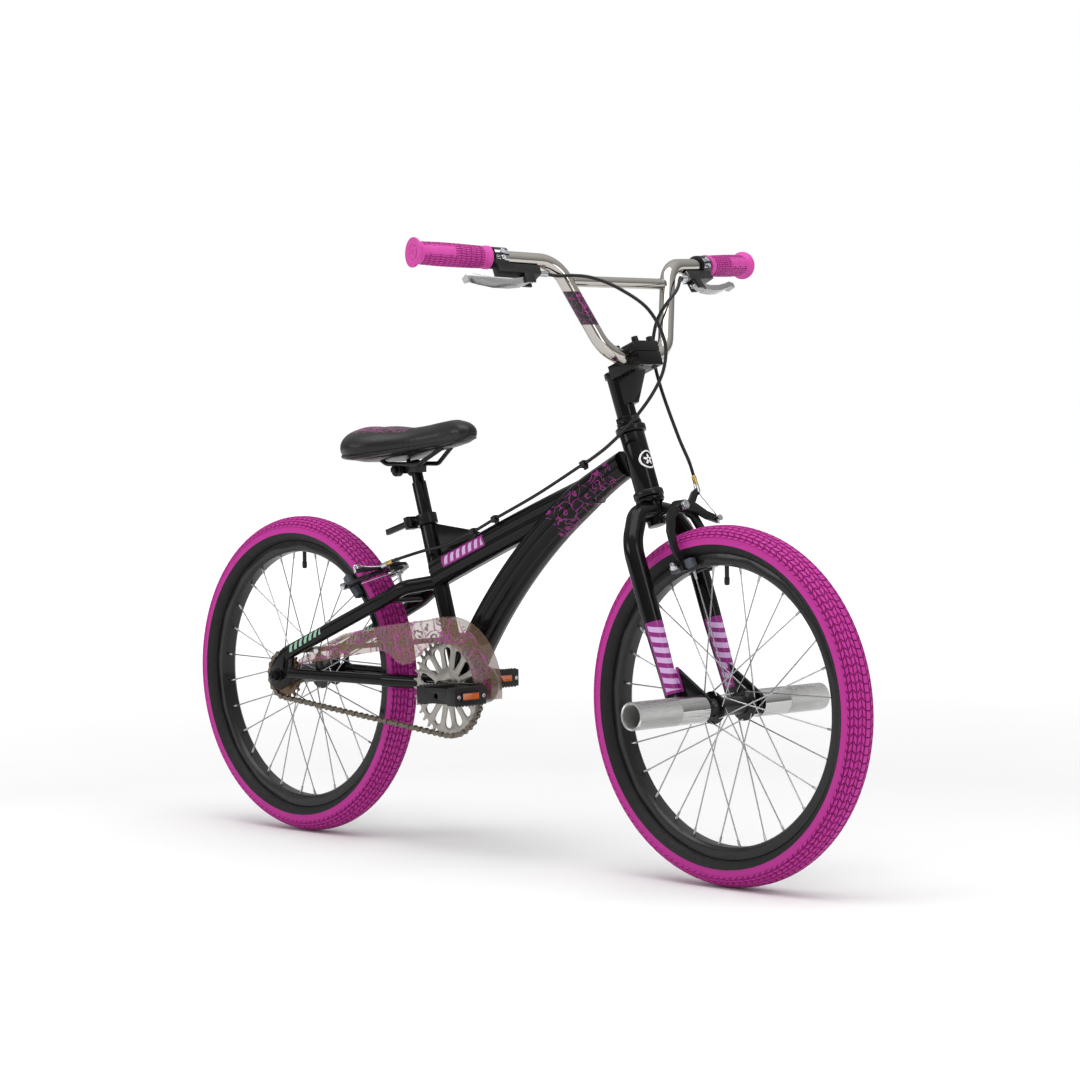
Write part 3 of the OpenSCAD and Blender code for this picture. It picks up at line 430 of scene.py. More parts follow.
class Skin(NodeTree):  # one material being put together; grain is its fineness and bump depth
    def __init__(self, name, colour, roughness, metallic=0.0, coat=0.0, grain=(400, 0.0001), spread=0.06,
                 shade=0.12, shine=0.5, alpha=1.0):
        self.material = bpy.data.materials.new(name)
        self.material.use_nodes = True
        super().__init__(self.material.node_tree)
        self.shader = self.nodes["Principled BSDF"].inputs
        self.shader["Metallic"].default_value = metallic
        self.shader["Coat Weight"].default_value = coat
        self.shader["Coat Roughness"].default_value = 0.06
        self.shader["Specular IOR Level"].default_value = shine
        self.shader["Alpha"].default_value = alpha
        self.place = self.node("TexCoord").outputs["Object"]
        low, high = max(roughness - spread, 0.01), roughness + spread
        self.grain = self.group(grainGroup, Vector=self.place, Scale=grain[0], Low=low, High=high)
        self.feed(self.shader["Roughness"], self.grain["Roughness"])
        self.bump = self.node("Bump", {"Distance": grain[1], "Strength": 0.6, "Height": self.grain["Height"]})
        self.feed(self.shader["Normal"], self.bump.outputs[0])
        dark = [c * (1 - shade) for c in colour] + [1]
        pale = [min(c * (1 + shade) + shade * 0.002, 1) for c in colour] + [1]
        self.mixed(self.grain["Shade"], dark, pale)

    def mixed(self, factor, a, b):
        self.colour = self.node("Mix", {0: factor, 6: a, 7: b}, data_type="RGBA").outputs[2]
        self.feed(self.shader["Base Color"], self.colour)

    def over(self, mask, colour):  # paints colour where mask is one
        self.mixed(mask, self.colour, [*colour, 1])
        return self

    def local(self, centre, turn=(0, 0, 0), size=(1, 1, 1)):  # the object's coordinates about a place, turned
        angles = [math.radians(a) for a in turn]
        wires = {"Vector": self.place, "Location": centre, "Rotation": angles, "Scale": size}
        return self.node("Mapping", wires, vector_type="TEXTURE").outputs[0]

    def boxed(self, vector, half):
        return self.group(boxGroup, Vector=vector, Half=half)[0]

    def vines(self, vector, scale, mask, colour):
        vine = self.group(vineGroup, Vector=vector, Scale=scale, Width=0.024)
        drawn = self.math("MAXIMUM", vine["Lines"], vine["Blooms"])
        return self.over(self.math("MULTIPLY", drawn, mask), colour)

    # slanted bars on a plain panel, no lettering
    def sticker(self, centre, turn, length, height, back, stripe):
        reach, bars = 0.2, 7  # it shows on both sides of the bike
        near = self.local(centre, (0, turn, 0))
        panel = self.boxed(near, (length / 2, reach, height / 2))
        inner = self.boxed(near, (length * 0.46, reach, height * 0.33))
        x, _, z = self.parts(near)
        slant = self.math("ADD", x, self.math("MULTIPLY", z, -0.5))
        wave = self.math("SINE", self.math("MULTIPLY", slant, 6.2832 * bars / length))
        bar = self.math("MULTIPLY", self.math("GREATER_THAN", wave, -0.1), inner)
        return self.over(panel, back).over(self.math("MULTIPLY", bar, panel), stripe)


vineColour = (0.25, 0.022, 0.17)
stickerBack = (0.26, 0.03, 0.20)
stayBack = (0.008, 0.008, 0.01)
badgeWhite = (0.82, 0.81, 0.8)


def framePaint(name):
    return Skin(name, (0.0035, 0.0033, 0.0035), 0.15, coat=0.05, grain=(900, 0.00001), spread=0.05, shade=0.3,
                shine=0.16)


def tyreSkin(name, centre):  # coloured tread and a black lower sidewall, told apart by distance from the axle
    skin = Skin(name, (0.46, 0.022, 0.27), 0.62, grain=(1500, 0.0001), spread=0.08, shade=0.1, shine=0.35)
    colourFrom = 0.2262
    flat = skin.vector("MULTIPLY", skin.local(centre), (1, 0, 1))[0]
    far = skin.vector("LENGTH", flat)["Value"]
    return skin.over(skin.math("LESS_THAN", far, colourFrom), (0.007, 0.007, 0.0075))


def chromeSkin():  # bar chrome with a printed wrap on one rise
    chrome = Skin("barChrome", (0.47, 0.445, 0.41), 0.07, metallic=1.0, grain=(90, 0.000004), spread=0.03,
                  shade=0.05)
    near = chrome.local((0.2380, -0.0872, 0.8110))
    wrap = chrome.boxed(near, (0.06, 0.06, 0.0235))
    chrome.over(wrap, (0.008, 0.006, 0.01)).vines(near, 75, wrap, (0.30, 0.02, 0.18))
    dull = chrome.node("Mix", {0: wrap, 2: chrome.grain["Roughness"], 3: 0.3}, data_type="FLOAT")
    chrome.feed(chrome.shader["Roughness"], dull.outputs[0])
    chrome.feed(chrome.shader["Metallic"], chrome.math("SUBTRACT", 1.0, wrap))
    return chrome


def pegSkin():  # plain chrome near the fork and knurled chrome further out
    peg = Skin("pegChrome", (0.50, 0.50, 0.49), 0.1, metallic=1.0, grain=(120, 0.000005), spread=0.04,
               shade=0.06)
    knurlFrom, knurlDepth = 0.1115, 0.0009
    x, y, z = peg.parts(peg.local(frameLines["frontAxle"]))
    around = peg.math("MULTIPLY", peg.math("ARCTAN2", x, z), 30)
    along = peg.math("MULTIPLY", y, 1500)
    waves = [peg.math("SINE", peg.math(sense, along, around)) for sense in ("ADD", "SUBTRACT")]
    outer = peg.math("GREATER_THAN", peg.math("ABSOLUTE", y), knurlFrom)
    height = peg.math("MULTIPLY", peg.math("MULTIPLY", *waves), outer)
    knurl = peg.node("Bump", {"Distance": knurlDepth, "Strength": 1, "Height": height})
    peg.feed(peg.bump.inputs["Normal"], knurl.outputs[0])
    return peg


def downTubeSkin():
    paint = framePaint("downTubePaint")
    near = paint.local((0.193, 0, 0.5375), (0, -32, 0))
    patch = paint.math("GREATER_THAN", paint.grain["Shade"], 0.44)  # leaves bare gaps between sprigs
    mask = paint.math("MULTIPLY", patch, paint.boxed(near, (0.074, 0.06, 0.0215)))
    return paint.vines(near, 44, mask, vineColour)


def headTubeSkin():  # a ring with five petals in it, on the front of the tube
    badge = framePaint("headPaint")
    ringRadius, ringHalf, petalMiddle, petalSwing, heart = 0.0125, 0.0011, 0.0055, 0.0025, 0.0018
    near = badge.local((0.3096, 0, 0.597), (0, -frameLines["steerLean"], 0))
    far = badge.vector("LENGTH", badge.vector("MULTIPLY", near, (0, 1, 1))[0])["Value"]
    x, y, z = badge.parts(near)
    inFront = badge.math("GREATER_THAN", x, -0.014)
    offRing = badge.math("ABSOLUTE", badge.math("SUBTRACT", far, ringRadius))
    ring = badge.math("MULTIPLY", badge.math("LESS_THAN", offRing, ringHalf), inFront)
    fold = badge.math("COSINE", badge.math("MULTIPLY", badge.math("ARCTAN2", y, z), 5))
    edge = badge.math("ADD", badge.math("MULTIPLY", fold, petalSwing), petalMiddle)
    inside, outside = badge.math("LESS_THAN", far, edge), badge.math("GREATER_THAN", far, heart)
    petals = badge.math("MULTIPLY", inside, outside)
    return badge.over(ring, badgeWhite).over(badge.math("MULTIPLY", petals, inFront), badgeWhite)


def saddleSkin():
    vinyl = Skin("saddleVinyl", (0.0075, 0.007, 0.0075), 0.36, grain=(1100, 0.00018), spread=0.07,
                 shine=0.35)
    near = vinyl.local((-0.230, 0, 0.6510))
    return vinyl.vines(near, 48, vinyl.boxed(near, (0.052, 0.07, 0.0125)), (0.36, 0.03, 0.21))


def guardSkin():  # clear smoky plastic, more opaque where it is printed
    smoke = Skin("smokeGuard", (0.23, 0.115, 0.06), 0.16, coat=0.5, grain=(500, 0.00002), shade=0.08,
                 shine=0.4)
    near, leaning = smoke.local(frameLines["bracket"]), smoke.local((0.013, 0, 0.02), (0, 40, 0), (1, 1, 2.2))
    vine = smoke.group(vineGroup, Vector=near, Scale=34, Width=0.022)
    leaf = smoke.group(vineGroup, Vector=leaning, Scale=70, Width=0.02)
    leaves = smoke.math("MULTIPLY", leaf["Blooms"], smoke.math("LESS_THAN", smoke.grain["Shade"], 0.5))
    printed = smoke.math("MAXIMUM", vine["Lines"], leaves)
    smoke.over(vine["Blooms"], (0.13, 0.045, 0.09)).over(printed, (0.27, 0.016, 0.18))
    covered = smoke.math("MAXIMUM", printed, vine["Blooms"])
    smoke.feed(smoke.shader["Alpha"], smoke.ramp(covered, 0, 1, 0.37, 0.92))
    return smoke


# plain finishes: name, colour, roughness, grain, and what else differs
plainFinishes = {
    "satin": ("satinBlack", (0.006, 0.006, 0.0065), 0.27, (700, 0.00003), {"coat": 0.05, "shine": 0.22}),
    "plastic": ("mouldedBlack", (0.008, 0.008, 0.0085), 0.4, (1800, 0.00006), {"spread": 0.08, "shine": 0.3}),
    "rim": ("rimBlack", (0.006, 0.006, 0.0065), 0.3, (900, 0.00002), {"coat": 0.15, "shine": 0.3}),
    "bright": ("brightSteel", (0.55, 0.56, 0.58), 0.16, (600, 0.000006), {"metallic": 1.0}),
    "spoke": ("spokeSteel", (0.42, 0.43, 0.44), 0.25, (2500, 0.00001), {"metallic": 1.0}),
    "alloy": ("leverAlloy", (0.40, 0.40, 0.40), 0.2, (300, 0.000004), {"metallic": 1.0, "spread": 0.05}),
    "cable": ("cableHousing", (0.006, 0.006, 0.006), 0.3, (2200, 0.00002), {"shine": 0.3}),
    "brass": ("brassFerrule", (0.55, 0.38, 0.14), 0.3, (2000, 0.00003), {"metallic": 1.0}),
    "padBlock": ("padRubber", (0.07, 0.08, 0.1), 0.7, (1200, 0.0002), {}),
    "amber": ("amberPrism", (0.50, 0.10, 0.006), 0.15, (900, 0.0003), {"coat": 0.6, "shade": 0.3}),
    # painted shade: the tread rubber's colour at half brightness for the grooves between blocks
    "grooveShade": ("treadGrooveShade", (0.24, 0.011, 0.14), 0.75, (1500, 0.0001), {"shine": 0.2}),
    "tubeRubber": ("stemRubber", (0.009, 0.009, 0.009), 0.6, (1500, 0.0001), {}),
    "grip": ("gripRubber", (0.56, 0.05, 0.33), 0.5, (2200, 0.00012), {"spread": 0.07, "shine": 0.4}),
    # painted shade: the grip rubber's colour darkened for the gaps between the raised pads
    "gripGapShade": ("gripRubberGapShade", (0.30, 0.014, 0.17), 0.6, (2200, 0.00012), {"shine": 0.3}),
    "chain": ("chainSteel", (0.16, 0.135, 0.11), 0.36, (1400, 0.0001), {"metallic": 0.9, "shade": 0.35}),
    "cog": ("cogSteel", (0.13, 0.085, 0.055), 0.4, (1400, 0.0001), {"metallic": 0.85, "shade": 0.3}),
    "ring": ("ringSteel", (0.34, 0.32, 0.295), 0.34, (900, 0.00006), {"metallic": 0.95, "shade": 0.16}),
    "guardRim": ("smokeRim", (0.20, 0.125, 0.085), 0.16, (500, 0.00002), {"coat": 0.5, "alpha": 0.5}),
}
# slanted bars on paint: name, middle, lean, length, height, panel, bars
barStickers = {
    "topTube": ("topTubePaint", (-0.066, -0.018, 0.4585), -21, 0.10, 0.018, stickerBack, (0.62, 0.42, 0.66)),
    "seatStay": ("seatStayPaint", (-0.382, -0.058, 0.313), -24.5, 0.085, 0.016, stayBack, (0.30, 0.52, 0.38)),
    "forkLeg": ("forkLegPaint", (0.398, -0.061, 0.322), 70, 0.105, 0.020, stickerBack, (0.60, 0.40, 0.66)),
}


def makeSkins():
    made = {
        "black": framePaint("frameBlack"), "downTube": downTubeSkin(), "headTube": headTubeSkin(),
        "chrome": chromeSkin(), "peg": pegSkin(), "saddle": saddleSkin(), "guard": guardSkin(),
        "frontTyre": tyreSkin("frontTread", frameLines["frontAxle"]),
        "rearTyre": tyreSkin("rearTread", frameLines["rearAxle"]),
    }
    for key, (name, colour, roughness, grain, rest) in plainFinishes.items():
        made[key] = Skin(name, colour, roughness, grain=grain, **rest)
    for key, (name, *sizes) in barStickers.items():
        made[key] = framePaint(name).sticker(*sizes)
    return {key: skin.material for key, skin in made.items()}


skins = makeSkins()
print("stage: materials made,", len(skins))

# places are in metres, angles in degrees; the lights are name, place, aim, size and power
studio = {
    "lens": 101.2, "eye": (3.303, -3.120, 0.651), "yaw": 45.88, "pitch": 2.22, "roll": -0.72,
    "floorSize": 60, "floorDrop": 0.0006, "glowFrom": 1.2, "glowTo": 5, "glow": 0.6,
    "lights": [
        ("overheadPanel", (0.4, -0.6, 3.2), (0, 0, 0.4), (3.4, 2.2), 62),
        ("frontPanel", (3.4, -0.2, 1.9), (0.2, 0, 0.5), (0.9, 2.0), 20),
        ("sidePanel", (-1.6, -3.4, 1.8), (0, 0, 0.5), (2.0, 0.9), 22),
    ],
}


def setCamera():
    yaw, pitch, roll = (math.radians(studio[k]) for k in ("yaw", "pitch", "roll"))
    ahead = Vector((-math.sin(yaw) * math.cos(pitch), math.cos(yaw) * math.cos(pitch), -math.sin(pitch)))
    right = Vector((math.cos(yaw), math.sin(yaw), 0))
    up = right.cross(ahead)
    side = right * math.cos(roll) + up * math.sin(roll)
    top = up * math.cos(roll) - right * math.sin(roll)
    lens = bpy.data.cameras.new("studioCamera")
    lens.lens = studio["lens"]
    lens.sensor_width = 36
    lens.clip_end = 60
    item = linkNew("studioCamera", lens)
    item.matrix_world = Matrix.Translation(studio["eye"]) @ Matrix((side, top, -ahead)).transposed().to_4x4()
    bpy.context.scene.camera = item


def setLights():
    for name, place, aim, size, power in studio["lights"]:
        lamp = bpy.data.lights.new(name, "AREA")
        lamp.shape = "RECTANGLE"
        lamp.size, lamp.size_y = size
        lamp.energy = power
        item = linkNew(name, lamp)
        item.location = place
        item.rotation_euler = (Vector(aim) - Vector(place)).to_track_quat("-Z", "Y").to_euler()


def setFloor():
    clearChoice()
    bpy.ops.mesh.primitive_plane_add(size=studio["floorSize"], location=(0, 0, -studio["floorDrop"]))
    floor = bpy.context.object
    floor.name = "studioFloor"
    settle(floor)
    skin = Skin("floorPale", (0.90, 0.90, 0.90), 0.75, grain=(60, 0.00001), spread=0.05, shade=0.01)
    floor.data.materials.append(skin.material)
    farAway = skin.vector("LENGTH", skin.place)["Value"]  # far off the floor glows into the white behind it
    glow = skin.ramp(farAway, studio["glowFrom"], studio["glowTo"], 0, studio["glow"])
    skin.feed(skin.shader["Emission Strength"], glow)
    skin.feed(skin.shader["Emission Color"], (1, 1, 1, 1))


def setWorld():  # white to the camera and darker towards the floor in reflections
    world = bpy.data.worlds.new("studioWorld")
    bpy.context.scene.world = world
    world.use_nodes = True
    sky = NodeTree(world.node_tree)
    height = sky.parts(sky.node("TexCoord").outputs["Generated"])["Z"]
    seen = sky.node("LightPath").outputs["Is Camera Ray"]
    power = sky.node("Mix", {0: seen, 2: sky.ramp(height, 0, 0.9, 0.22, 0.85), 3: 1.0}, data_type="FLOAT")
    background = sky.nodes["Background"].inputs
    sky.feed(background["Strength"], power.outputs[0])
    sky.feed(background["Color"], (1, 1, 1, 1))
    bpy.context.scene.view_settings.view_transform = "Standard"


setCamera()
setFloor()
setWorld()
setLights()
print("stage: studio set")

tyrePart = {  # outlines are radius and half width in millimetres
    "steps": 132, "blockGap": 0.0006, "blockFlank": 0.00035, "blockRise": 0.0016, "slant": 0.3,
    "firstRow": 10, "treadFrom": 0.2368,
    "outer": [(205, 11.8), (213.3, 11.8), (215, 16), (219, 21.4), (222.5, 23.6), (224.6, 24.6),
              (225.2, 25.3), (226.8, 25.3), (227.4, 24.9), (231.5, 25.1), (235.5, 24.4), (239.2, 22.6),
              (243.1, 19.3), (246.7, 15.0), (249.3, 10.2), (250.9, 4.9)],
    "inner": [(249.2, 4.5), (246.2, 10), (242.6, 15.6), (237.5, 20.2), (231, 22.2), (224, 21.2),
              (218.5, 16.5), (214, 8.8), (205, 8.8)],
}
wheelPart = {  # nipple and cap outlines are radius and height in millimetres
    "spokes": 28, "spokeTurn": 62, "flangeSide": 0.032, "flangeStep": 0.0024,
    "rimRadius": 0.1965, "rimSide": 0.003, "nippleBack": 0.0115, "valveAt": 0.1795,
    "nipple": [(1.1, 0), (1.7, 0.6), (1.9, 9), (2.6, 11), (2.6, 13), (1.1, 13)],
    "cap": [(0.5, 0), (3.6, 0), (3.9, 1), (3.9, 8.5), (3, 10.8), (0.5, 11.2)],
}


def buildTyre(name, centre, body, node, finish):
    outer, inner = metres(tyrePart["outer"]), metres(tyrePart["inner"])
    outline = outer + [(r, -y) for r, y in reversed(outer)] + [(r, -y) for r, y in reversed(inner)] + inner
    tyre = turnedPiece(name, outline, (0, 0, 0), (0, 1, 0), tyrePart["steps"])
    pitch = 2 * math.pi / tyrePart["steps"]
    near = 0.00015
    for vertex in tyre.data.vertices:  # rows are shifted round the tyre so the grooves between blocks weave
        radius = math.hypot(vertex.co.x, vertex.co.z)
        for i, (row, wide) in enumerate(outer[tyrePart["firstRow"]:]):
            if abs(radius - row) < near and abs(abs(vertex.co.y) - wide) < near:
                shift = pitch * tyrePart["slant"] * (1 if i % 2 else -1)
                vertex.co = Matrix.Rotation(shift, 3, "Y") @ vertex.co

    def isTread(face):
        radius = math.hypot(face.center.x, face.center.z)
        outward = Vector((face.center.x, 0, face.center.z)) / radius
        return radius > tyrePart["treadFrom"] and face.normal.dot(outward) > 0.15

    editFaces(tyre, isTread)
    for thickness, depth in ((tyrePart["blockGap"], 0), (tyrePart["blockFlank"], tyrePart["blockRise"])):
        bpy.ops.mesh.inset(thickness=thickness, depth=depth, use_individual=True, use_even_offset=True)
    leaveEdit()
    # the groove faces between the raised blocks take the darker tread colour, painted shade
    grooves = [face.index for face in tyre.data.polygons if isTread(face) and not face.select]
    tyre.data.transform(Matrix.Translation(centre))
    smoothBy(tyre, 38)
    dress(tyre, body, [node], "tyre_rubber", finish, "grooveShade")
    for index in grooves:
        tyre.data.polygons[index].material_index = 1


def buildNipples(which, centre, flangeRadius):
    nipples, count = [], wheelPart["spokes"]
    for i in range(count):
        side, lean = (1 if i % 2 == 0 else -1), (1 if (i // 2) % 2 == 0 else -1)
        a = 2 * math.pi * (i + 0.5) / count
        f = a + lean * math.radians(wheelPart["spokeTurn"])
        out = side * (wheelPart["flangeSide"] + lean * wheelPart["flangeStep"])
        hubEnd = Vector((flangeRadius * math.sin(f), out, flangeRadius * math.cos(f)))
        rim = wheelPart["rimRadius"]
        rimEnd = Vector((rim * math.sin(a), side * wheelPart["rimSide"], rim * math.cos(a)))
        outward = (rimEnd - hubEnd).normalized()
        foot = rimEnd - outward * wheelPart["nippleBack"] + Vector(centre)
        nipples.append(turnedPiece("nipple", metres(wheelPart["nipple"]), foot, outward, 8))
    joined = joinAll(nipples, which + "SpokeNipples")
    smoothBy(joined, 50)
    dress(joined, which + "_wheel", [], "spoke_steel", "spoke")


def buildWheel(which, flangeRadius):
    body, centre = which + "_wheel", frameLines[which + "Axle"]
    buildTyre(which + "TreadedTyre", centre, body, which + "_tyre", which + "Tyre")
    dressCopies(body, [
        (which + "_rim", which + "WheelRim", 0.0005, 2, "rim_paint", "rim"),
        (which + "_spokes", which + "WheelSpokes", 0, 2, "spoke_steel", "spoke"),
        (which + "_hub", which + "WheelHub", 0.0006, 2, "rim_paint", "rim"),
        (which + "_tube", which + "InnerTube", 0, 2, "tube_rubber", "tubeRubber"),
    ])
    buildNipples(which, centre, flangeRadius)
    place = Vector(centre) + Vector((0, 0, wheelPart["valveAt"]))
    cap = turnedPiece(which + "ValveCap", metres(wheelPart["cap"]), place, (0, 0, -1), 20)
    smoothBy(cap, 40)
    dress(cap, body, [], "tube_rubber", "plastic")


buildWheel("front", 0.020)
buildWheel("rear", 0.024)
print("stage: wheels built")

tubePart = {  # profiles are height and half width in millimetres, and the down tube's arc is in degrees
    "downProfile": [(25.5, 0), (24.4, 8.5), (21.2, 12.2), (19.8, 17), (12.5, 23.4), (5, 24.3), (0, 22.8),
                    (-5, 24.3), (-12.5, 23.4), (-19.8, 17), (-21.2, 12.2), (-24.4, 8.5), (-25.5, 0),
                    (-24.4, -8.5), (-21.2, -12.2), (-19.8, -17), (-12.5, -23.4), (-5, -24.3), (0, -22.8),
                    (5, -24.3), (12.5, -23.4), (19.8, -17), (21.2, -12.2), (24.4, -8.5)],
    "topProfile": [(22, 0), (21.5, 8), (17.5, 13.5), (9, 17.4), (0, 16.2), (-9, 17.4), (-17.5, 13.5),
                   (-21.5, 8), (-22, 0), (-21.5, -8), (-17.5, -13.5), (-9, -17.4), (0, -16.2), (9, -17.4),
                   (17.5, -13.5), (21.5, -8)],
    "arcCentre": (0.627, -0.146), "arcRadius": 0.820, "arcFrom": 30.2, "arcTurn": 33.6, "arcSteps": 56,
    "narrowFrom": 55, "narrowTo": 63.5, "narrowBy": 0.2,
    "topFoot": 176, "topHead": (0.205, 0, 0.554), "topBow": 0.003,
    "gusset": [(-0.160, 0.5), (-0.055, 0.489), (-0.02, 0.482), (-0.142, 0.434)], "gussetHalf": 0.002,
    "seatStay": [(-0.178, 0.034, 0.401), (-0.226, 0.045, 0.377), (-0.432, 0.060, 0.290)],
    "seatStayRadius": 0.011, "seatBridge": (-0.21767, 0.038, 0.3824),
    "chainStay": [(-0.0964, 0.018, 0.256), (-0.150, 0.0312, 0.256), (-0.215, 0.044, 0.257),
                  (-0.424, 0.060, 0.258)],
    "chainStayRadius": 0.0105, "chainBridge": (-0.152, 0.026, 0.256), "squeeze": 0.22,
    "seatStayTop": 163, "seatStayShift": (-0.002, 0.006, 0),
    "seatBridgeRadius": 0.008, "chainBridgeRadius": 0.007,
}


def buildDownTube():
    centreX, centreZ = tubePart["arcCentre"]
    radius, steps = tubePart["arcRadius"], tubePart["arcSteps"]
    angles = [tubePart["arcFrom"] + tubePart["arcTurn"] * k / steps for k in range(steps + 1)]
    turns = [math.radians(a) for a in angles]
    arc = [Vector((centreX - radius * math.cos(a), 0, centreZ + radius * math.sin(a))) for a in turns]
    slim = [easeBetween(a, tubePart["narrowFrom"], tubePart["narrowTo"]) for a in angles]
    sizes = [1 - tubePart["narrowBy"] * s for s in slim]
    down = formedTube("formedDownTube", arc, tubePart["downProfile"], sizes)
    smoothBy(down, 50)
    dress(down, "frame", ["down_tube"], "frame_paint", "downTube")


def buildTopTube():
    low, high = seatPoint(tubePart["topFoot"]), Vector(tubePart["topHead"])
    bow = [Vector((0, 0, tubePart["topBow"] * math.sin(math.pi * k / 30))) for k in range(31)]
    path = [low.lerp(high, k / 30) + rise for k, rise in enumerate(bow)]
    top = formedTube("formedTopTube", path, tubePart["topProfile"])
    half = tubePart["gussetHalf"]
    gusset = platePiece([(x, -half, z) for x, z in tubePart["gusset"]], (0, 2 * half, 0))
    addBevel(gusset, 0.0012, 3)
    top = joinAll([top, gusset], "formedTopTube")
    smoothBy(top, 45)
    dress(top, "frame", ["top_tube"], "frame_paint", "topTube")


# both stays and the short tube between them
def stayPair(name, path, radius, bridge, bridgeRadius, sizes=None):
    pieces = [tubePiece("stay", p, radius, 6, sizes=sizes) for p in (path, mirrored(path))]
    pieces.append(tubePiece("bridge", mirrored([bridge]) + [Vector(bridge)], bridgeRadius, 6))
    stays = joinAll(pieces, name)
    smoothBy(stays, 45)
    return stays


def buildStays():
    start = seatPoint(tubePart["seatStayTop"]) + Vector(tubePart["seatStayShift"])
    path = roundedPath([start] + tubePart["seatStay"], [0.04, 0.06], 12)
    radius, bridge = tubePart["seatStayRadius"], tubePart["seatBridge"]
    stays = stayPair("pairedSeatStays", path, radius, bridge, tubePart["seatBridgeRadius"])
    dress(stays, "frame", ["seat_stays"], "frame_paint", "seatStay")
    path = roundedPath(tubePart["chainStay"], [0.06, 0.08], 12)
    last = len(path) - 1
    sizes = [1 - tubePart["squeeze"] * easeBetween(k, last - 3, last) for k in range(len(path))]
    radius, bridge = tubePart["chainStayRadius"], tubePart["chainBridge"]
    stays = stayPair("pairedChainStays", path, radius, bridge, tubePart["chainBridgeRadius"], sizes)
    dress(stays, "frame", ["chain_stays"], "frame_paint", "black")


def buildFrame():
    buildDownTube()
    buildTopTube()
    dressCopies("frame", [
        ("seat_tube", "roundSeatTube", 0.0005, 2, "frame_paint", "black"),
        ("head_tube", "badgedHeadTube", 0.0008, 2, "frame_paint", "headTube"),
        ("bottom_bracket", "bracketShell", 0.0008, 2, "frame_paint", "black"),
    ])
    buildStays()
    dressCopies("frame", [("rear_dropouts", "slottedRearEnds", 0.0009, 3, "frame_paint", "black")])
    way = frameLines["seatWay"]
    beads = [weldBead(seatPoint(15.5), way, 0.0136), weldBead(seatPoint(181), way, 0.0132, 0.0012)]
    bead = joinAll(beads, "weldBeads")
    smoothBy(bead, 60)
    dress(bead, "frame", [], "frame_paint", "black")


buildFrame()
print("stage: frame tubes built")

forkPart = {  # leg and end plate in millimetres on the steering axis
    "legRadius": 0.0143, "footScale": 0.8, "leg": [(0, 6, -73), (0, 34, -78), (0, 61, -122), (0, 61, -346)],
    "legFoot": (1.5, 61, -350), "plateSide": 50, "plateThick": 0.005,
    "plate": [(2, -352), (2, -318), (14, -306), (52, -356), (60, -370), (55, -384), (40, -391),
              (26, -386), (14, -368)],
    "boltX": (29, 67), "boltY": (-15, 15), "boltZ": 163,
}


def buildFork():
    leg = roundedPath([steerPoint(*p) for p in forkPart["leg"]], [0.022, 0.07], 14)
    leg = leg[:-1] + [leg[-2].lerp(leg[-1], k / 8) for k in range(1, 9)] + [steerPoint(*forkPart["legFoot"])]
    total = len(leg)
    sizes = [1 - (1 - forkPart["footScale"]) * easeBetween(k, total - 7, total - 2) for k in range(total)]
    pieces = [tubePiece("leg", path, forkPart["legRadius"], 8, sizes=sizes) for path in (leg, mirrored(leg))]
    corners = [steerPoint(x, forkPart["plateSide"], z) for x, z in forkPart["plate"]]
    plate = platePiece(corners, (0, forkPart["plateThick"], 0))
    addBevel(plate, 0.0009, 3)
    other = ownCopy(plate, sideFlip)
    tidyMesh(other)
    fork = joinAll(pieces + [plate, other], "bladedFork")
    smoothBy(fork, 45)
    dress(fork, "steering", ["fork_legs"], "frame_paint", "forkLeg")
    dressCopies("steering", [
        ("fork_steerer", "steererTube", 0.0008, 3, "frame_paint", "black"),
        ("headset_nuts", "headsetNuts", 0.0009, 3, "black_steel", "black"),
        ("stem", "quillStem", 0.0011, 3, "black_steel", "black"),
        ("stem_cap", "barClampCap", 0.0011, 3, "black_steel", "satin"),
    ])
    dressCopies("frame", [("headset_cups", "headsetCups", 0.0006, 2, "black_steel", "satin")])
    bolts = [softCopy("stem_bolts", "bolts", 0.0005)]
    for x in forkPart["boltX"]:
        for y in forkPart["boltY"]:
            bolts.append(boltHead(steerPoint(x, y, forkPart["boltZ"]), steerWay(0, 0, 1), 0.0048, 0.0028))
    bolts = joinAll(bolts, "socketStemBolts")
    smoothBy(bolts, 40)
    dress(bolts, "steering", ["stem_bolts"], "bright_steel", "satin")


barPart = {  # millimetres on the steering axis
    "radius": 0.0111, "crossRadius": 0.008, "end": (3.7, 338, 311.5), "corner": (50, 116, 284),
    "middle": (48.5, 0, 142), "foot": (48.5, 58, 142),
    "crossX": 49.5, "crossY": 99, "crossZ": 256, "beadY": 93.5,
}


def buildBar():
    middle, foot, corner, end = (steerPoint(*barPart[key]) for key in ("middle", "foot", "corner", "end"))
    half = roundedPath([middle, foot, corner, corner.lerp(end, 0.982)], [0.05, 0.045], 18)
    pieces = [tubePiece("main", mirrored(half)[:0:-1] + half, barPart["radius"], 9)]
    x, y, z = barPart["crossX"], barPart["crossY"], barPart["crossZ"]
    pieces.append(tubePiece("cross", [steerPoint(x, -y, z), steerPoint(x, y, z)], barPart["crossRadius"], 8))
    for side in (-1, 1):
        pieces.append(weldBead(steerPoint(x, side * barPart["beadY"], z), (0, 1, 0), 0.0086, 0.0014))
    bar = joinAll(pieces, "riseHandlebar")
    smoothBy(bar, 45)
    dress(bar, "steering", ["handlebar"], "bar_chrome", "chrome")


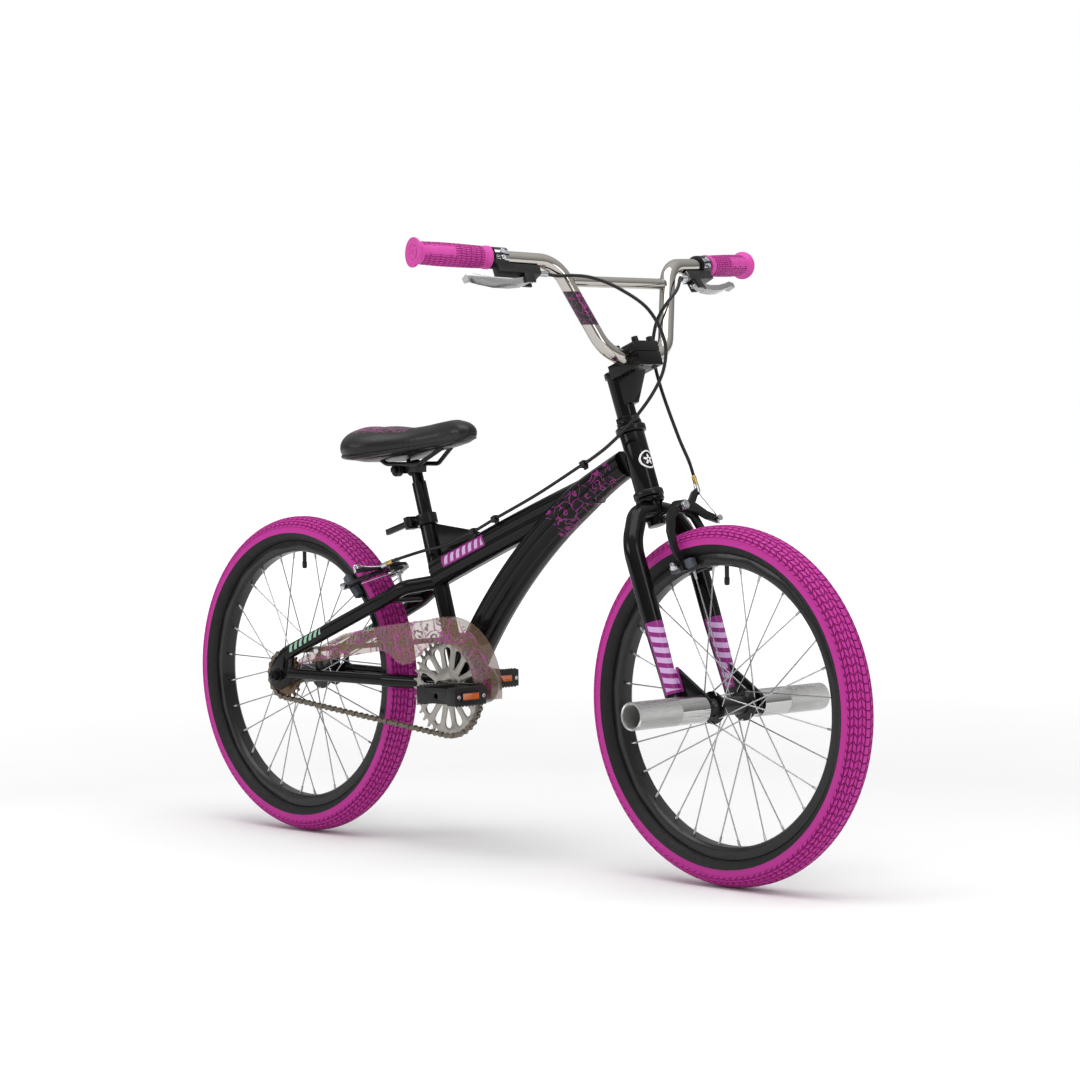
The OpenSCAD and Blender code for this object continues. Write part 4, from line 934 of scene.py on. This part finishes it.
gripPart = {  # the outline is radius and distance from the bar's end in millimetres
    "steps": 30, "padGap": 0.00054, "padFlank": 0.0004, "rise": 0.0008, "padFrom": 12.5, "padTo": 108.5,
    "plainTo": 62, "plainHalf": 25,
    "outline": [(0.2, 2.4), (4, 2.4), (4.6, 1.6), (9, 1.6), (9.6, 2.6), (11.5, 2.6), (12.5, 1.6),
                (15.6, 1.2), (19.2, 0.2), (20.8, 0.6), (21, 2.6), (20.2, 4.6), (17.6, 7.2), (15.6, 10),
                (15.3, 13), (15.5, 21), (15.7, 29), (15.9, 37), (16.0, 45), (16.0, 53), (15.9, 61),
                (15.8, 69), (15.7, 77), (15.5, 85), (15.4, 93), (15.2, 101), (15.0, 108), (14.9, 111),
                (16.4, 112.5), (16.6, 116), (16.4, 120), (15.4, 121), (11.2, 121), (11.2, 40), (11.2, 4),
                (0.2, 4)],
}


def gripFrame(side):  # Z runs inwards from the bar's end, Y ahead
    end, corner = steerPoint(*barPart["end"]), steerPoint(*barPart["corner"])
    inward = (corner - end).normalized()
    ahead = steerWay(1, 0, 0)
    ahead = (ahead - inward * ahead.dot(inward)).normalized()
    turn = Matrix((ahead.cross(inward), ahead, inward)).transposed().to_4x4()
    place = Matrix.Translation(end) @ turn
    return place if side > 0 else sideFlip @ place


def buildGrips():
    outline = gripPart["outline"]
    grip = turnedPiece("grip", metres(outline), steps=gripPart["steps"])
    for finish in ("grip", "gripGapShade"):
        grip.data.materials.append(skins[finish])
    halfStep = Matrix.Rotation(math.pi / gripPart["steps"], 3, "Z")
    outside = [k for k, (radius, _) in enumerate(outline) if radius > 13]
    for vertex in grip.data.vertices:  # every second ring is turned half a step so the pads become diamonds
        z = vertex.co.z * 1000
        if gripPart["padFrom"] < z < gripPart["padTo"] and math.hypot(vertex.co.x, vertex.co.y) > 0.013:
            if min(outside, key=lambda k: abs(outline[k][1] - z)) % 2:
                vertex.co = halfStep @ vertex.co

    def isPad(face):
        z, radius = face.center.z * 1000, math.hypot(face.center.x, face.center.y)
        angle = abs(math.degrees(math.atan2(face.center.y, face.center.x)))
        plain = abs(angle - 90) < gripPart["plainHalf"] and 15 < z < gripPart["plainTo"]
        return 12 < z < gripPart["padTo"] and radius > 0.0135 and not plain

    editFaces(grip, isPad)
    bpy.ops.mesh.inset(thickness=gripPart["padGap"], depth=0, use_individual=True)
    bpy.ops.mesh.inset(thickness=gripPart["padFlank"], depth=gripPart["rise"], use_individual=True)
    leaveEdit()
    # the gaps and flanks around the raised pads take the darker grip colour, painted shade
    for face in grip.data.polygons:
        if isPad(face) and not face.select:
            face.material_index = 1
    pair = [ownCopy(grip, gripFrame(side)) for side in (1, -1)]
    bpy.data.objects.remove(grip)
    for one in pair:
        tidyMesh(one)
    grips = joinAll(pair, "patternedGrips")
    smoothBy(grips, 35)
    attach(grips, "steering")
    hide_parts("grips")


leverPart = {  # screws are placed in the grip's frame
    "barrelEnd": (0.2474, 0.1376, 0.8585), "barrelOut": -0.0135, "barrelIn": 0.006, "barrelRadius": 0.0056,
    "screwX": (-0.0045, 0.0055), "screwY": 0.0150, "screwZ": 0.136, "screwRadius": 0.0036,
}


def buildLevers():
    screws = []
    for side in (1, -1):
        place = gripFrame(side)
        for x in leverPart["screwX"]:
            at = place @ Vector((x, leverPart["screwY"], leverPart["screwZ"]))
            screws.append(boltHead(at, place.to_3x3() @ Vector((0, 1, 0)), leverPart["screwRadius"], 0.0026))
    corners = [[v.co for v in screw.data.vertices] for screw in screws]
    marks = [sum(points, Vector()) / len(points) for points in corners]
    mounts = joinAll([softCopy("lever_mounts", "leverBrackets", 0.0016, 3)] + screws, "leverBrackets")
    smoothBy(mounts, 45)
    dress(mounts, "steering", ["lever_mounts"], "black_plastic", "plastic", "bright")
    x, y, z = leverPart["barrelEnd"]
    for side in (1, -1):
        inward, end = gripFrame(side).to_3x3() @ Vector((0, 0, 1)), Vector((x, side * y, z))

        def onBarrel(point):
            along = (point - end).dot(inward)
            aside = (point - end - inward * along).length
            inLength = leverPart["barrelOut"] < along < leverPart["barrelIn"]
            return inLength and aside < leverPart["barrelRadius"]

        paintWhere(mounts, 1, onBarrel)
    for middle in marks:
        paintWhere(mounts, 1, lambda c: (c - middle).length < 0.0044)
    for side in ("left", "right"):
        lever = softCopy(side + "_brake_lever", side + "LeverBlade", 0.0026, 4)
        smoothBy(lever, 50)
        dress(lever, side + "_lever", [side + "_brake_lever"], "lever_alloy", "alloy")


buildFork()
buildBar()
buildGrips()
buildLevers()
print("stage: fork, bar and levers built")

brakePart = {  # millimetres about each pivot bolt, which stands behind the rim's top
    "wire": 0.0008, "spring": 0.0011,
    "frontPivot": (46, 0, -86), "rearPivot": (-0.232, 0.424), "rearTurn": 71,
    "springHalf": [(-33, -52), (-24, -26), (-13, -5), (-5, 7)], "springX": -3.5, "springTop": 10,
    "lowerWire": [(3.1, 50.5, 19), (8, 56, 2), (14.5, 60, -16), (14.5, 62, -30)],
    "upperWire": [(2.5, 49, 34), (2.7, 49.6, 26), (3.1, 50.5, 19)],
}


def frontBrakePoint(x, y, z):
    pivotX, pivotY, pivotZ = brakePart["frontPivot"]
    return steerPoint(pivotX + x, pivotY + y, pivotZ + z)


def rearBrakePoint(x, y, z):
    a = math.radians(brakePart["rearTurn"])
    pivotX, pivotZ = brakePart["rearPivot"]
    x, y, z = -x / 1000, -y / 1000, z / 1000
    return Vector((pivotX + x * math.cos(a) + z * math.sin(a), y, pivotZ - x * math.sin(a) + z * math.cos(a)))


def buildArm(which, part, name, side, place, ends):
    node = which + part
    arm = softCopy(node, which + name, 0.0009, 3)
    dress(arm, node, [node], "black_steel", "satin", "padBlock", "bright")
    block = place(2, side * 22, -85)
    paintWhere(arm, 1, lambda c: (c - block).length < 0.0265 and abs(c.y - block.y) < 0.0062)
    for middle, radius in ((place(2, side * 42, -85), 0.0085), ends):
        paintWhere(arm, 2, lambda c: (c - middle).length < radius)


def buildBrake(which, place, base):
    buildArm(which, "_clamp_arm", "ClampArm", -1, place, (place(14, 64, -21), 0.0075))
    buildArm(which, "_stop_arm", "StopArm", 1, place, (place(2.5, 49, 28), 0.0085))
    half = brakePart["springHalf"]
    line = half + [(0, brakePart["springTop"])] + [(-y, z) for y, z in reversed(half)]
    line = smoothPath([place(brakePart["springX"], y, z) for y, z in line], 8)
    lower, upper = (smoothPath([place(*p) for p in brakePart[key]], 6) for key in ("lowerWire", "upperWire"))
    for path, radius, sides, name, body in (
        (line, brakePart["spring"], 3, "ReturnSpring", base),
        (lower, brakePart["wire"], 2, "InnerWire", which + "_clamp_arm"),
        (upper, brakePart["wire"], 2, "WireTop", which + "_stop_arm"),
    ):
        wire = tubePiece(which + name, path, radius, sides)
        smoothBy(wire, 60)
        dress(wire, body, [], "bright_steel", "bright")
    head = boltHead(place(16.1, 0, 0), place(1, 0, 0) - place(0, 0, 0), 0.0062, 0.0034, 0.45)
    bolt = joinAll([softCopy(which + "_brake_bolt", "bolt", 0.0006, 3), head], which + "PivotBolt")
    smoothBy(bolt, 40)
    dress(bolt, base, [which + "_brake_bolt"], "bright_steel", "bright")


dressCopies("steering", [("front_axle", "frontAxleNuts", 0.0005, 2, "black_steel", "satin")])
dressCopies("frame", [("rear_axle", "rearAxleNuts", 0.0006, 2, "black_steel", "satin")])
dressCopies("steering", [("front_pegs", "knurledPegs", 0.0008, 3, "bar_chrome", "peg")])
buildBrake("front", frontBrakePoint, "steering")
buildBrake("rear", rearBrakePoint, "frame")
print("stage: brakes built")

cablePart = {  # routes and the ferrule's radius and height in millimetres
    "radius": 0.0025, "blendFrom": (0.2900, -0.1060, 0.8500), "blendTo": (0.2500, -0.0320, 0.6100),
    "loop": [(247.4, -137.6, 858.5), (257, -124, 856), (276, -113, 856), (303, -103, 852),
             (338, -88, 837), (376, -68, 807), (392, -52, 764), (382, -42, 726), (356, -38, 690),
             (312, -36, 650), (262, -32, 617), (214, -26, 594)],
    "rear": [(214, -26, 594), (202, -24, 590), (103, -20, 546), (8, -18, 508), (-40, -18, 488),
             (-105, -18, 466), (-140, -26, 458), (-166, -40, 449.4), (-187, -48.6, 442.2),
             (-200.3, -49, 437.6)],
    "front": [(247.4, 137.6, 858.5), (257, 124, 856), (272, 108, 852), (280, 92, 838), (276, 74, 818),
              (268, 62, 791), (269, 54, 750), (288, 49, 700), (322, 48, 630), (342, 48.6, 594),
              (350.7, 49, 573), (355.2, 49, 560.4)],
    "ferrule": [(2.4, 0), (3.3, 0), (3.5, 1.2), (3.5, 10.5), (3, 12.5), (2.4, 12.5)],
    "rearTip": (-0.2003, -0.049, 0.4376), "rearWay": (0.9455, 0, 0.3256),
    "frontTip": (0.3552, 0.049, 0.5604), "frontWay": (-0.342, 0, 0.94),
}


def cablePiece(key, name):
    cable = tubePiece(name, smoothPath(metres(cablePart[key]), 10), cablePart["radius"], 5)
    smoothBy(cable, 60)
    return cable


def buildCables():
    loop = cablePiece("loop", "cableLoop")  # one end turns with the bar and the other stays on the frame
    loop.data.materials.append(skins["cable"])
    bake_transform(loop)
    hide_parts("cable_loop")
    dress(cablePiece("rear", "rearCableRun"), "frame", ["rear_cable"], "cable_housing", "cable")
    dress(cablePiece("front", "frontCableRun"), "steering", ["front_cable"], "cable_housing", "cable")
    for which, body in (("rear", "frame"), ("front", "steering")):
        tip, way = cablePart[which + "Tip"], cablePart[which + "Way"]
        ferrule = turnedPiece(which + "Ferrule", metres(cablePart["ferrule"]), tip, way, 20)
        smoothBy(ferrule, 40)
        dress(ferrule, body, [], "bright_steel", "brass")
    dressCopies("frame", [("cable_clips", "cableClips", 0.0009, 3, "black_plastic", "plastic")])


buildCables()
print("stage: cables run")

drivePart = {  # the link plate's waist is in millimetres from its first pin
    "pitch": 0.0127, "ringTeeth": 36, "freeTeeth": 18, "centres": 0.3856, "links": 88, "chainY": -0.043,
    "plateThick": 0.001, "plateRadius": 0.0041,
    "waist": [(0.0046, 0.0025), (0.00635, 0.0021), (0.0081, 0.0025)],
    "rollerRadius": 0.0039, "rollerLong": 0.005, "pinRadius": 0.0018, "pinLong": 0.0102,
    "outerSide": 0.0042, "innerSide": 0.0031,
}


def chainPoints():
    pitch, teeth = drivePart["pitch"], drivePart["ringTeeth"]
    ringRadius, freeRadius = (pitch / 2 / math.sin(math.pi / n) for n in (teeth, drivePart["freeTeeth"]))
    lean = math.asin((ringRadius - freeRadius) / drivePart["centres"])
    run = drivePart["centres"] * math.cos(lean) / pitch
    ringSpan = teeth * (math.pi + 2 * lean) / (2 * math.pi)
    up, down = math.pi / 2 + lean, 3 * math.pi / 2 - lean

    def aroundAxle(axle, radius, angle):
        x, _, z = frameLines[axle]
        return Vector((x + radius * math.cos(angle), drivePart["chainY"], z + radius * math.sin(angle)))

    def onRing(angle):
        return aroundAxle("bracket", ringRadius, angle)

    def onFree(angle):
        return aroundAxle("rearAxle", freeRadius, angle)

    points = []
    for i in range(drivePart["links"]):
        if i < run:
            points.append(onFree(up).lerp(onRing(up), i / run))
        elif i < run + ringSpan:
            points.append(onRing(up - (i - run) * 2 * math.pi / teeth))
        elif i < 2 * run + ringSpan:
            points.append(onRing(down).lerp(onFree(down), (i - run - ringSpan) / run))
        else:
            points.append(onFree(down - (i - 2 * run - ringSpan) * 2 * math.pi / drivePart["freeTeeth"]))
    return points


def waistedPlate():  # one side plate of a link, along +X from its first pin
    radius, half = drivePart["plateRadius"], drivePart["plateThick"] / 2
    turns = [math.radians(90 + 30 * k) for k in range(7)]
    outline = [(radius * math.cos(a), radius * math.sin(a)) for a in turns]
    outline += [(x, -z) for x, z in drivePart["waist"]]
    outline += [(drivePart["pitch"] - radius * math.cos(a), -radius * math.sin(a)) for a in turns]
    outline += reversed(drivePart["waist"])
    plate = platePiece([(x, -half, z) for x, z in outline], (0, 2 * half, 0))
    addBevel(plate, 0.0002, 1, 50)
    return plate


def acrossCylinder(radius, length):
    clearChoice()
    bpy.ops.mesh.primitive_cylinder_add(vertices=10, radius=radius, depth=length, location=(0, 0, 0),
                                        rotation=(math.pi / 2, 0, 0))
    item = bpy.context.object
    settle(item)
    return item


def buildChain():
    plate = waistedPlate()
    roller = acrossCylinder(drivePart["rollerRadius"], drivePart["rollerLong"])
    pin = acrossCylinder(drivePart["pinRadius"], drivePart["pinLong"])
    addBevel(pin, 0.0004, 1, 50)
    points, made = chainPoints(), []
    for i, at in enumerate(points):
        after = points[(i + 1) % len(points)]
        angle = math.atan2(after.z - at.z, after.x - at.x)
        turn = Matrix.Translation(at) @ Matrix.Rotation(-angle, 4, "Y")
        out = drivePart["innerSide"] if i % 2 else drivePart["outerSide"]
        for side in (-1, 1):
            made.append(ownCopy(plate, turn @ Matrix.Translation((0, side * out, 0))))
        made += [ownCopy(source, Matrix.Translation(at)) for source in (roller, pin)]
    for source in (plate, roller, pin):
        bpy.data.objects.remove(source)
    links = joinAll(made, "rollerChain")
    smoothBy(links, 40)
    dress(links, "frame", ["chain"], "chain_steel", "chain")


pedalPart = {
    "toothCount": 9, "toothSize": 0.0032, "toothStep": 0.0064, "toothX": 0.0385, "toothZ": 0.0135,
    "boltY": 0.0245, "boltRadius": 0.0032, "armLength": 0.092, "side": 0.121, "panelProud": 0.0002,
    "panelSize": (0.0022, 0.036, 0.0135), "panelRim": 0.0018, "panelDepth": 0.0008,
}


def pedalTeeth(centre):
    count, teeth = pedalPart["toothCount"], []
    for end in (-1, 1):
        for face in (-1, 1):
            for k in range(count):
                clearChoice()
                y = (k - (count - 1) / 2) * pedalPart["toothStep"]
                place = centre + Vector((end * pedalPart["toothX"], y, face * pedalPart["toothZ"]))
                turn = (0 if face > 0 else math.pi, 0, math.pi / 4)
                bpy.ops.mesh.primitive_cone_add(vertices=4, radius1=pedalPart["toothSize"], radius2=0.0008,
                                                depth=0.003, location=place, rotation=turn)
                teeth.append(bpy.context.object)
                settle(teeth[-1])
    return teeth


def buildPedal(which, sign):
    body = which + "_pedal"
    bracketX, _, bracketZ = frameLines["bracket"]
    centre = Vector((bracketX - sign * pedalPart["armLength"], sign * pedalPart["side"], bracketZ))
    low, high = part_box(body)
    reach, boltY = (high[0] - low[0]) / 2, pedalPart["boltY"]
    pieces = [softCopy(body, which + "Cage", 0.0013, 3)] + pedalTeeth(centre)
    for end in (-1, 1):
        for y in (-boltY, boltY):
            at = centre + Vector((end * reach, y, 0))
            pieces.append(boltHead(at, (end, 0, 0), pedalPart["boltRadius"], 0.0014))
    pedal = joinAll(pieces, which + "PedalCage")
    smoothBy(pedal, 35)
    dress(pedal, body, [body], "black_plastic", "plastic", "plastic", "bright")

    def isBolt(c):
        x, y, z = (abs(v) for v in c - centre)
        return x > reach + 0.0002 and abs(y - boltY) < 0.004 and z < 0.004

    paintWhere(pedal, 2, isBolt)
    panels = []
    for end in (-1, 1):  # reflector set into a moulded surround
        place = centre + Vector((end * (reach + pedalPart["panelProud"]), 0, 0))
        clearChoice()
        bpy.ops.mesh.primitive_cube_add(size=1, location=place, scale=pedalPart["panelSize"])
        panel = bpy.context.object
        settle(panel)
        editFaces(panel, lambda face: face.normal.x * end > 0.9)
        bpy.ops.mesh.inset(thickness=pedalPart["panelRim"])
        sink = (-end * pedalPart["panelDepth"], 0, 0)
        bpy.ops.mesh.extrude_region_move(TRANSFORM_OT_translate={"value": sink})
        leaveEdit()
        panels.append(panel)
    panel = joinAll(panels, which + "Reflectors")
    addBevel(panel, 0.0003, 2, 40)
    smoothBy(panel, 35)
    dress(panel, body, [], "black_plastic", "plastic", "amber")

    def isReflector(c):
        x, y, z = (abs(v) for v in c - centre)
        return x > reach and y < 0.016 and z < 0.0045

    paintWhere(panel, 1, isReflector)


buildChain()
dressCopies("crank", [("chainring", "teardropChainring", 0.0005, 2, "ring_steel", "ring")])
dressCopies("freewheel", [("freewheel", "toothedFreewheel", 0.0004, 2, "brown_steel", "cog")])
dressCopies("crank", [("crank", "onePieceCrank", 0.0012, 3, "black_steel", "black")])
dressCopies("frame", [
    ("bracket_cups", "bracketCups", 0.0006, 2, "bright_steel", "bright"),
    ("bearing_balls", "bearingBalls", 0, 2, "bright_steel", "bright"),
])
buildPedal("right", -1)
buildPedal("left", 1)
print("stage: drive built")

guardPart = {"rimFrom": -0.0515, "headFrom": -0.0541}  # how far out the rim starts and the screw heads end


def buildGuard():
    shield = softCopy("chain_guard", "printedGuard", 0.0003, 1)
    dress(shield, "frame", ["chain_guard"], "guard_plastic", "guard", "guardRim")
    paintWhere(shield, 1, lambda c: c.y > guardPart["rimFrom"])
    screws = softCopy("guard_screws", "guardBrackets", 0.0005)
    dress(screws, "frame", ["guard_screws"], "bright_steel", "satin", "bright")
    paintWhere(screws, 1, lambda c: c.y < guardPart["headFrom"])


buildGuard()
print("stage: guard built")

saddlePart = {  # stations are place, half width, underside and top in millimetres
    "height": 346, "voxel": 0.0042, "pressure": 4.0, "steps": 18, "cap": 0.003, "sides": 28, "rings": 30,
    "stations": [(-113, 20, 30, 46), (-106, 52, 20, 58), (-88, 74, 15, 63), (-60, 82, 15, 64),
                 (-30, 74, 19, 62), (0, 54, 24, 61), (40, 33, 30, 64), (80, 25, 36, 70),
                 (110, 22, 42, 73), (128, 18, 46, 70), (136, 9, 52, 63)],
    "coverAt": (-0.005, 0, -0.004), "waist": 0.36, "channel": 0.0025, "channelHalf": 0.012,
    "rail": [(-58, 34, 22), (-42, 24, 5), (30, 20, 5), (72, 9, 30)],
    "railBends": [14, 20], "railRadius": 0.0035,
    "jawAt": (-0.024, 0.016, -0.004),
    "jawHalf": [(9.6, 0.7), (10.5, 1.2), (10.5, 4), (9.8, 4.7), (4.1, 4.7)],
}


def saddleStation(t):  # place, half width, underside and top, t of the way from tail to nose
    rows = saddlePart["stations"]
    last = len(rows) - 1
    i = min(int(t * last), last - 1)
    a, b, c, d = (rows[max(0, min(last, k))] for k in (i - 1, i, i + 1, i + 2))
    return [between(p, q, r, w, t * last - i) for p, q, r, w in zip(a, b, c, d)]


def shapeCover():  # the ball's rings become the saddle's cross sections
    at = seatPoint(saddlePart["height"]) + Vector(saddlePart["coverAt"])
    sides, rings = saddlePart["sides"], saddlePart["rings"]
    clearChoice()
    bpy.ops.mesh.primitive_uv_sphere_add(segments=sides, ring_count=rings, radius=1, location=(0, 0, 0))
    cover = bpy.context.object
    cover.name = "paddedSaddle"
    for vertex in cover.data.vertices:
        way = vertex.co.copy()
        ring = math.acos(max(-1, min(1, way.z))) / math.pi * rings
        x, wide, low, high = saddleStation(max(0, min(1, (ring - 1) / (rings - 2))))
        tall, middle = high - low, low + (high - low) * saddlePart["waist"]
        flat = math.hypot(way.x, way.y)
        if flat < 0.001:
            vertex.co = at + Vector((x + (1.5 if way.z < 0 else -1.5), 0, middle)) / 1000
            continue
        across, up = way.x / flat, way.y / flat
        y = wide * math.copysign(abs(across) ** (0.8 if up > 0 else 0.55), across)
        z = middle + (tall * 0.64 * abs(up) ** 0.9 if up > 0 else -tall * 0.34 * abs(up) ** 0.7)
        vertex.co = at + Vector((x, y, z)) / 1000
    tidyMesh(cover, 0.0001)
    shapeWith(cover, "evenSkin", "REMESH", mode="VOXEL", voxel_size=saddlePart["voxel"])
    shapeWith(cover, "easeSkin", "SMOOTH", iterations=7, factor=0.5)
    shapeWith(cover, "foamDepth", "DISPLACE", strength=0.0012, mid_level=0)
    return cover


def pressFoam(cover):  # foam pressing out against its vinyl cover
    pad = cover.modifiers.new("foam", "CLOTH")
    pad.settings.use_pressure = True
    pad.settings.uniform_pressure_force = saddlePart["pressure"]
    pad.settings.effector_weights.gravity = 0
    pad.settings.quality = 5
    for k in range(1, saddlePart["steps"] + 1):
        bpy.context.scene.frame_set(k)
    choose(cover)
    bpy.ops.object.modifier_apply(modifier="foam")
    bpy.context.scene.frame_set(1)


def buildCover():
    cover = shapeCover()
    rest = [v.co.copy() for v in cover.data.vertices]
    pressFoam(cover)
    cap = saddlePart["cap"]
    for vertex, before in zip(cover.data.vertices, rest):
        move = vertex.co - before
        if move.length > cap:
            vertex.co = before + move * cap / move.length
        across = math.exp(-((vertex.co.y / saddlePart["channelHalf"]) ** 2))
        if vertex.co.z > 0.62:  # shallow channel down the middle of the seat
            vertex.co.z -= saddlePart["channel"] * across * easeBetween(-vertex.co.x, 0.14, 0.2)
    shapeWith(cover, "finish", "SUBSURF", levels=1, render_levels=1)
    smoothBy(cover, 80)
    dress(cover, "saddle", ["saddle_cover"], "saddle_vinyl", "saddle")


def buildRails():
    at = seatPoint(saddlePart["height"])
    rail = [at + p / 1000 for p in roundedPath(saddlePart["rail"], saddlePart["railBends"], 10)]
    pieces = [tubePiece("rail", p, saddlePart["railRadius"], 5) for p in (rail, mirrored(rail))]
    half = saddlePart["jawHalf"]
    outline = metres([(r, -z) for r, z in reversed(half)] + half)
    jawX, jawY, jawZ = saddlePart["jawAt"]
    for side in (-1, 1):
        pieces.append(turnedPiece("jaw", outline, at + Vector((jawX, side * jawY, jawZ)), (0, 1, 0), 40))
    rails = joinAll(pieces, "saddleRailsAndJaws")
    smoothBy(rails, 40)
    dress(rails, "saddle", ["saddle_rails"], "black_steel", "satin")


def buildSaddle():
    buildCover()
    base = softCopy("saddle_base", "saddleShell", 0.002, 2, 50)
    smoothBy(base, 60)
    dress(base, "saddle", ["saddle_base"], "black_plastic", "plastic")
    buildRails()
    dressCopies("seat_post", [
        ("saddle_clamp", "saddleClampBlock", 0.0012, 3, "black_steel", "satin"),
        ("seat_post", "blackSeatPost", 0.0008, 2, "black_steel", "black"),
    ])
    dressCopies("frame", [("seat_clamp", "seatCollar", 0.0011, 3, "black_steel", "satin")])
    dressCopies("clamp_lever", [("clamp_lever", "collarLever", 0.0018, 4, "black_steel", "satin")])


buildSaddle()
print("stage: saddle built")

clearChoice()
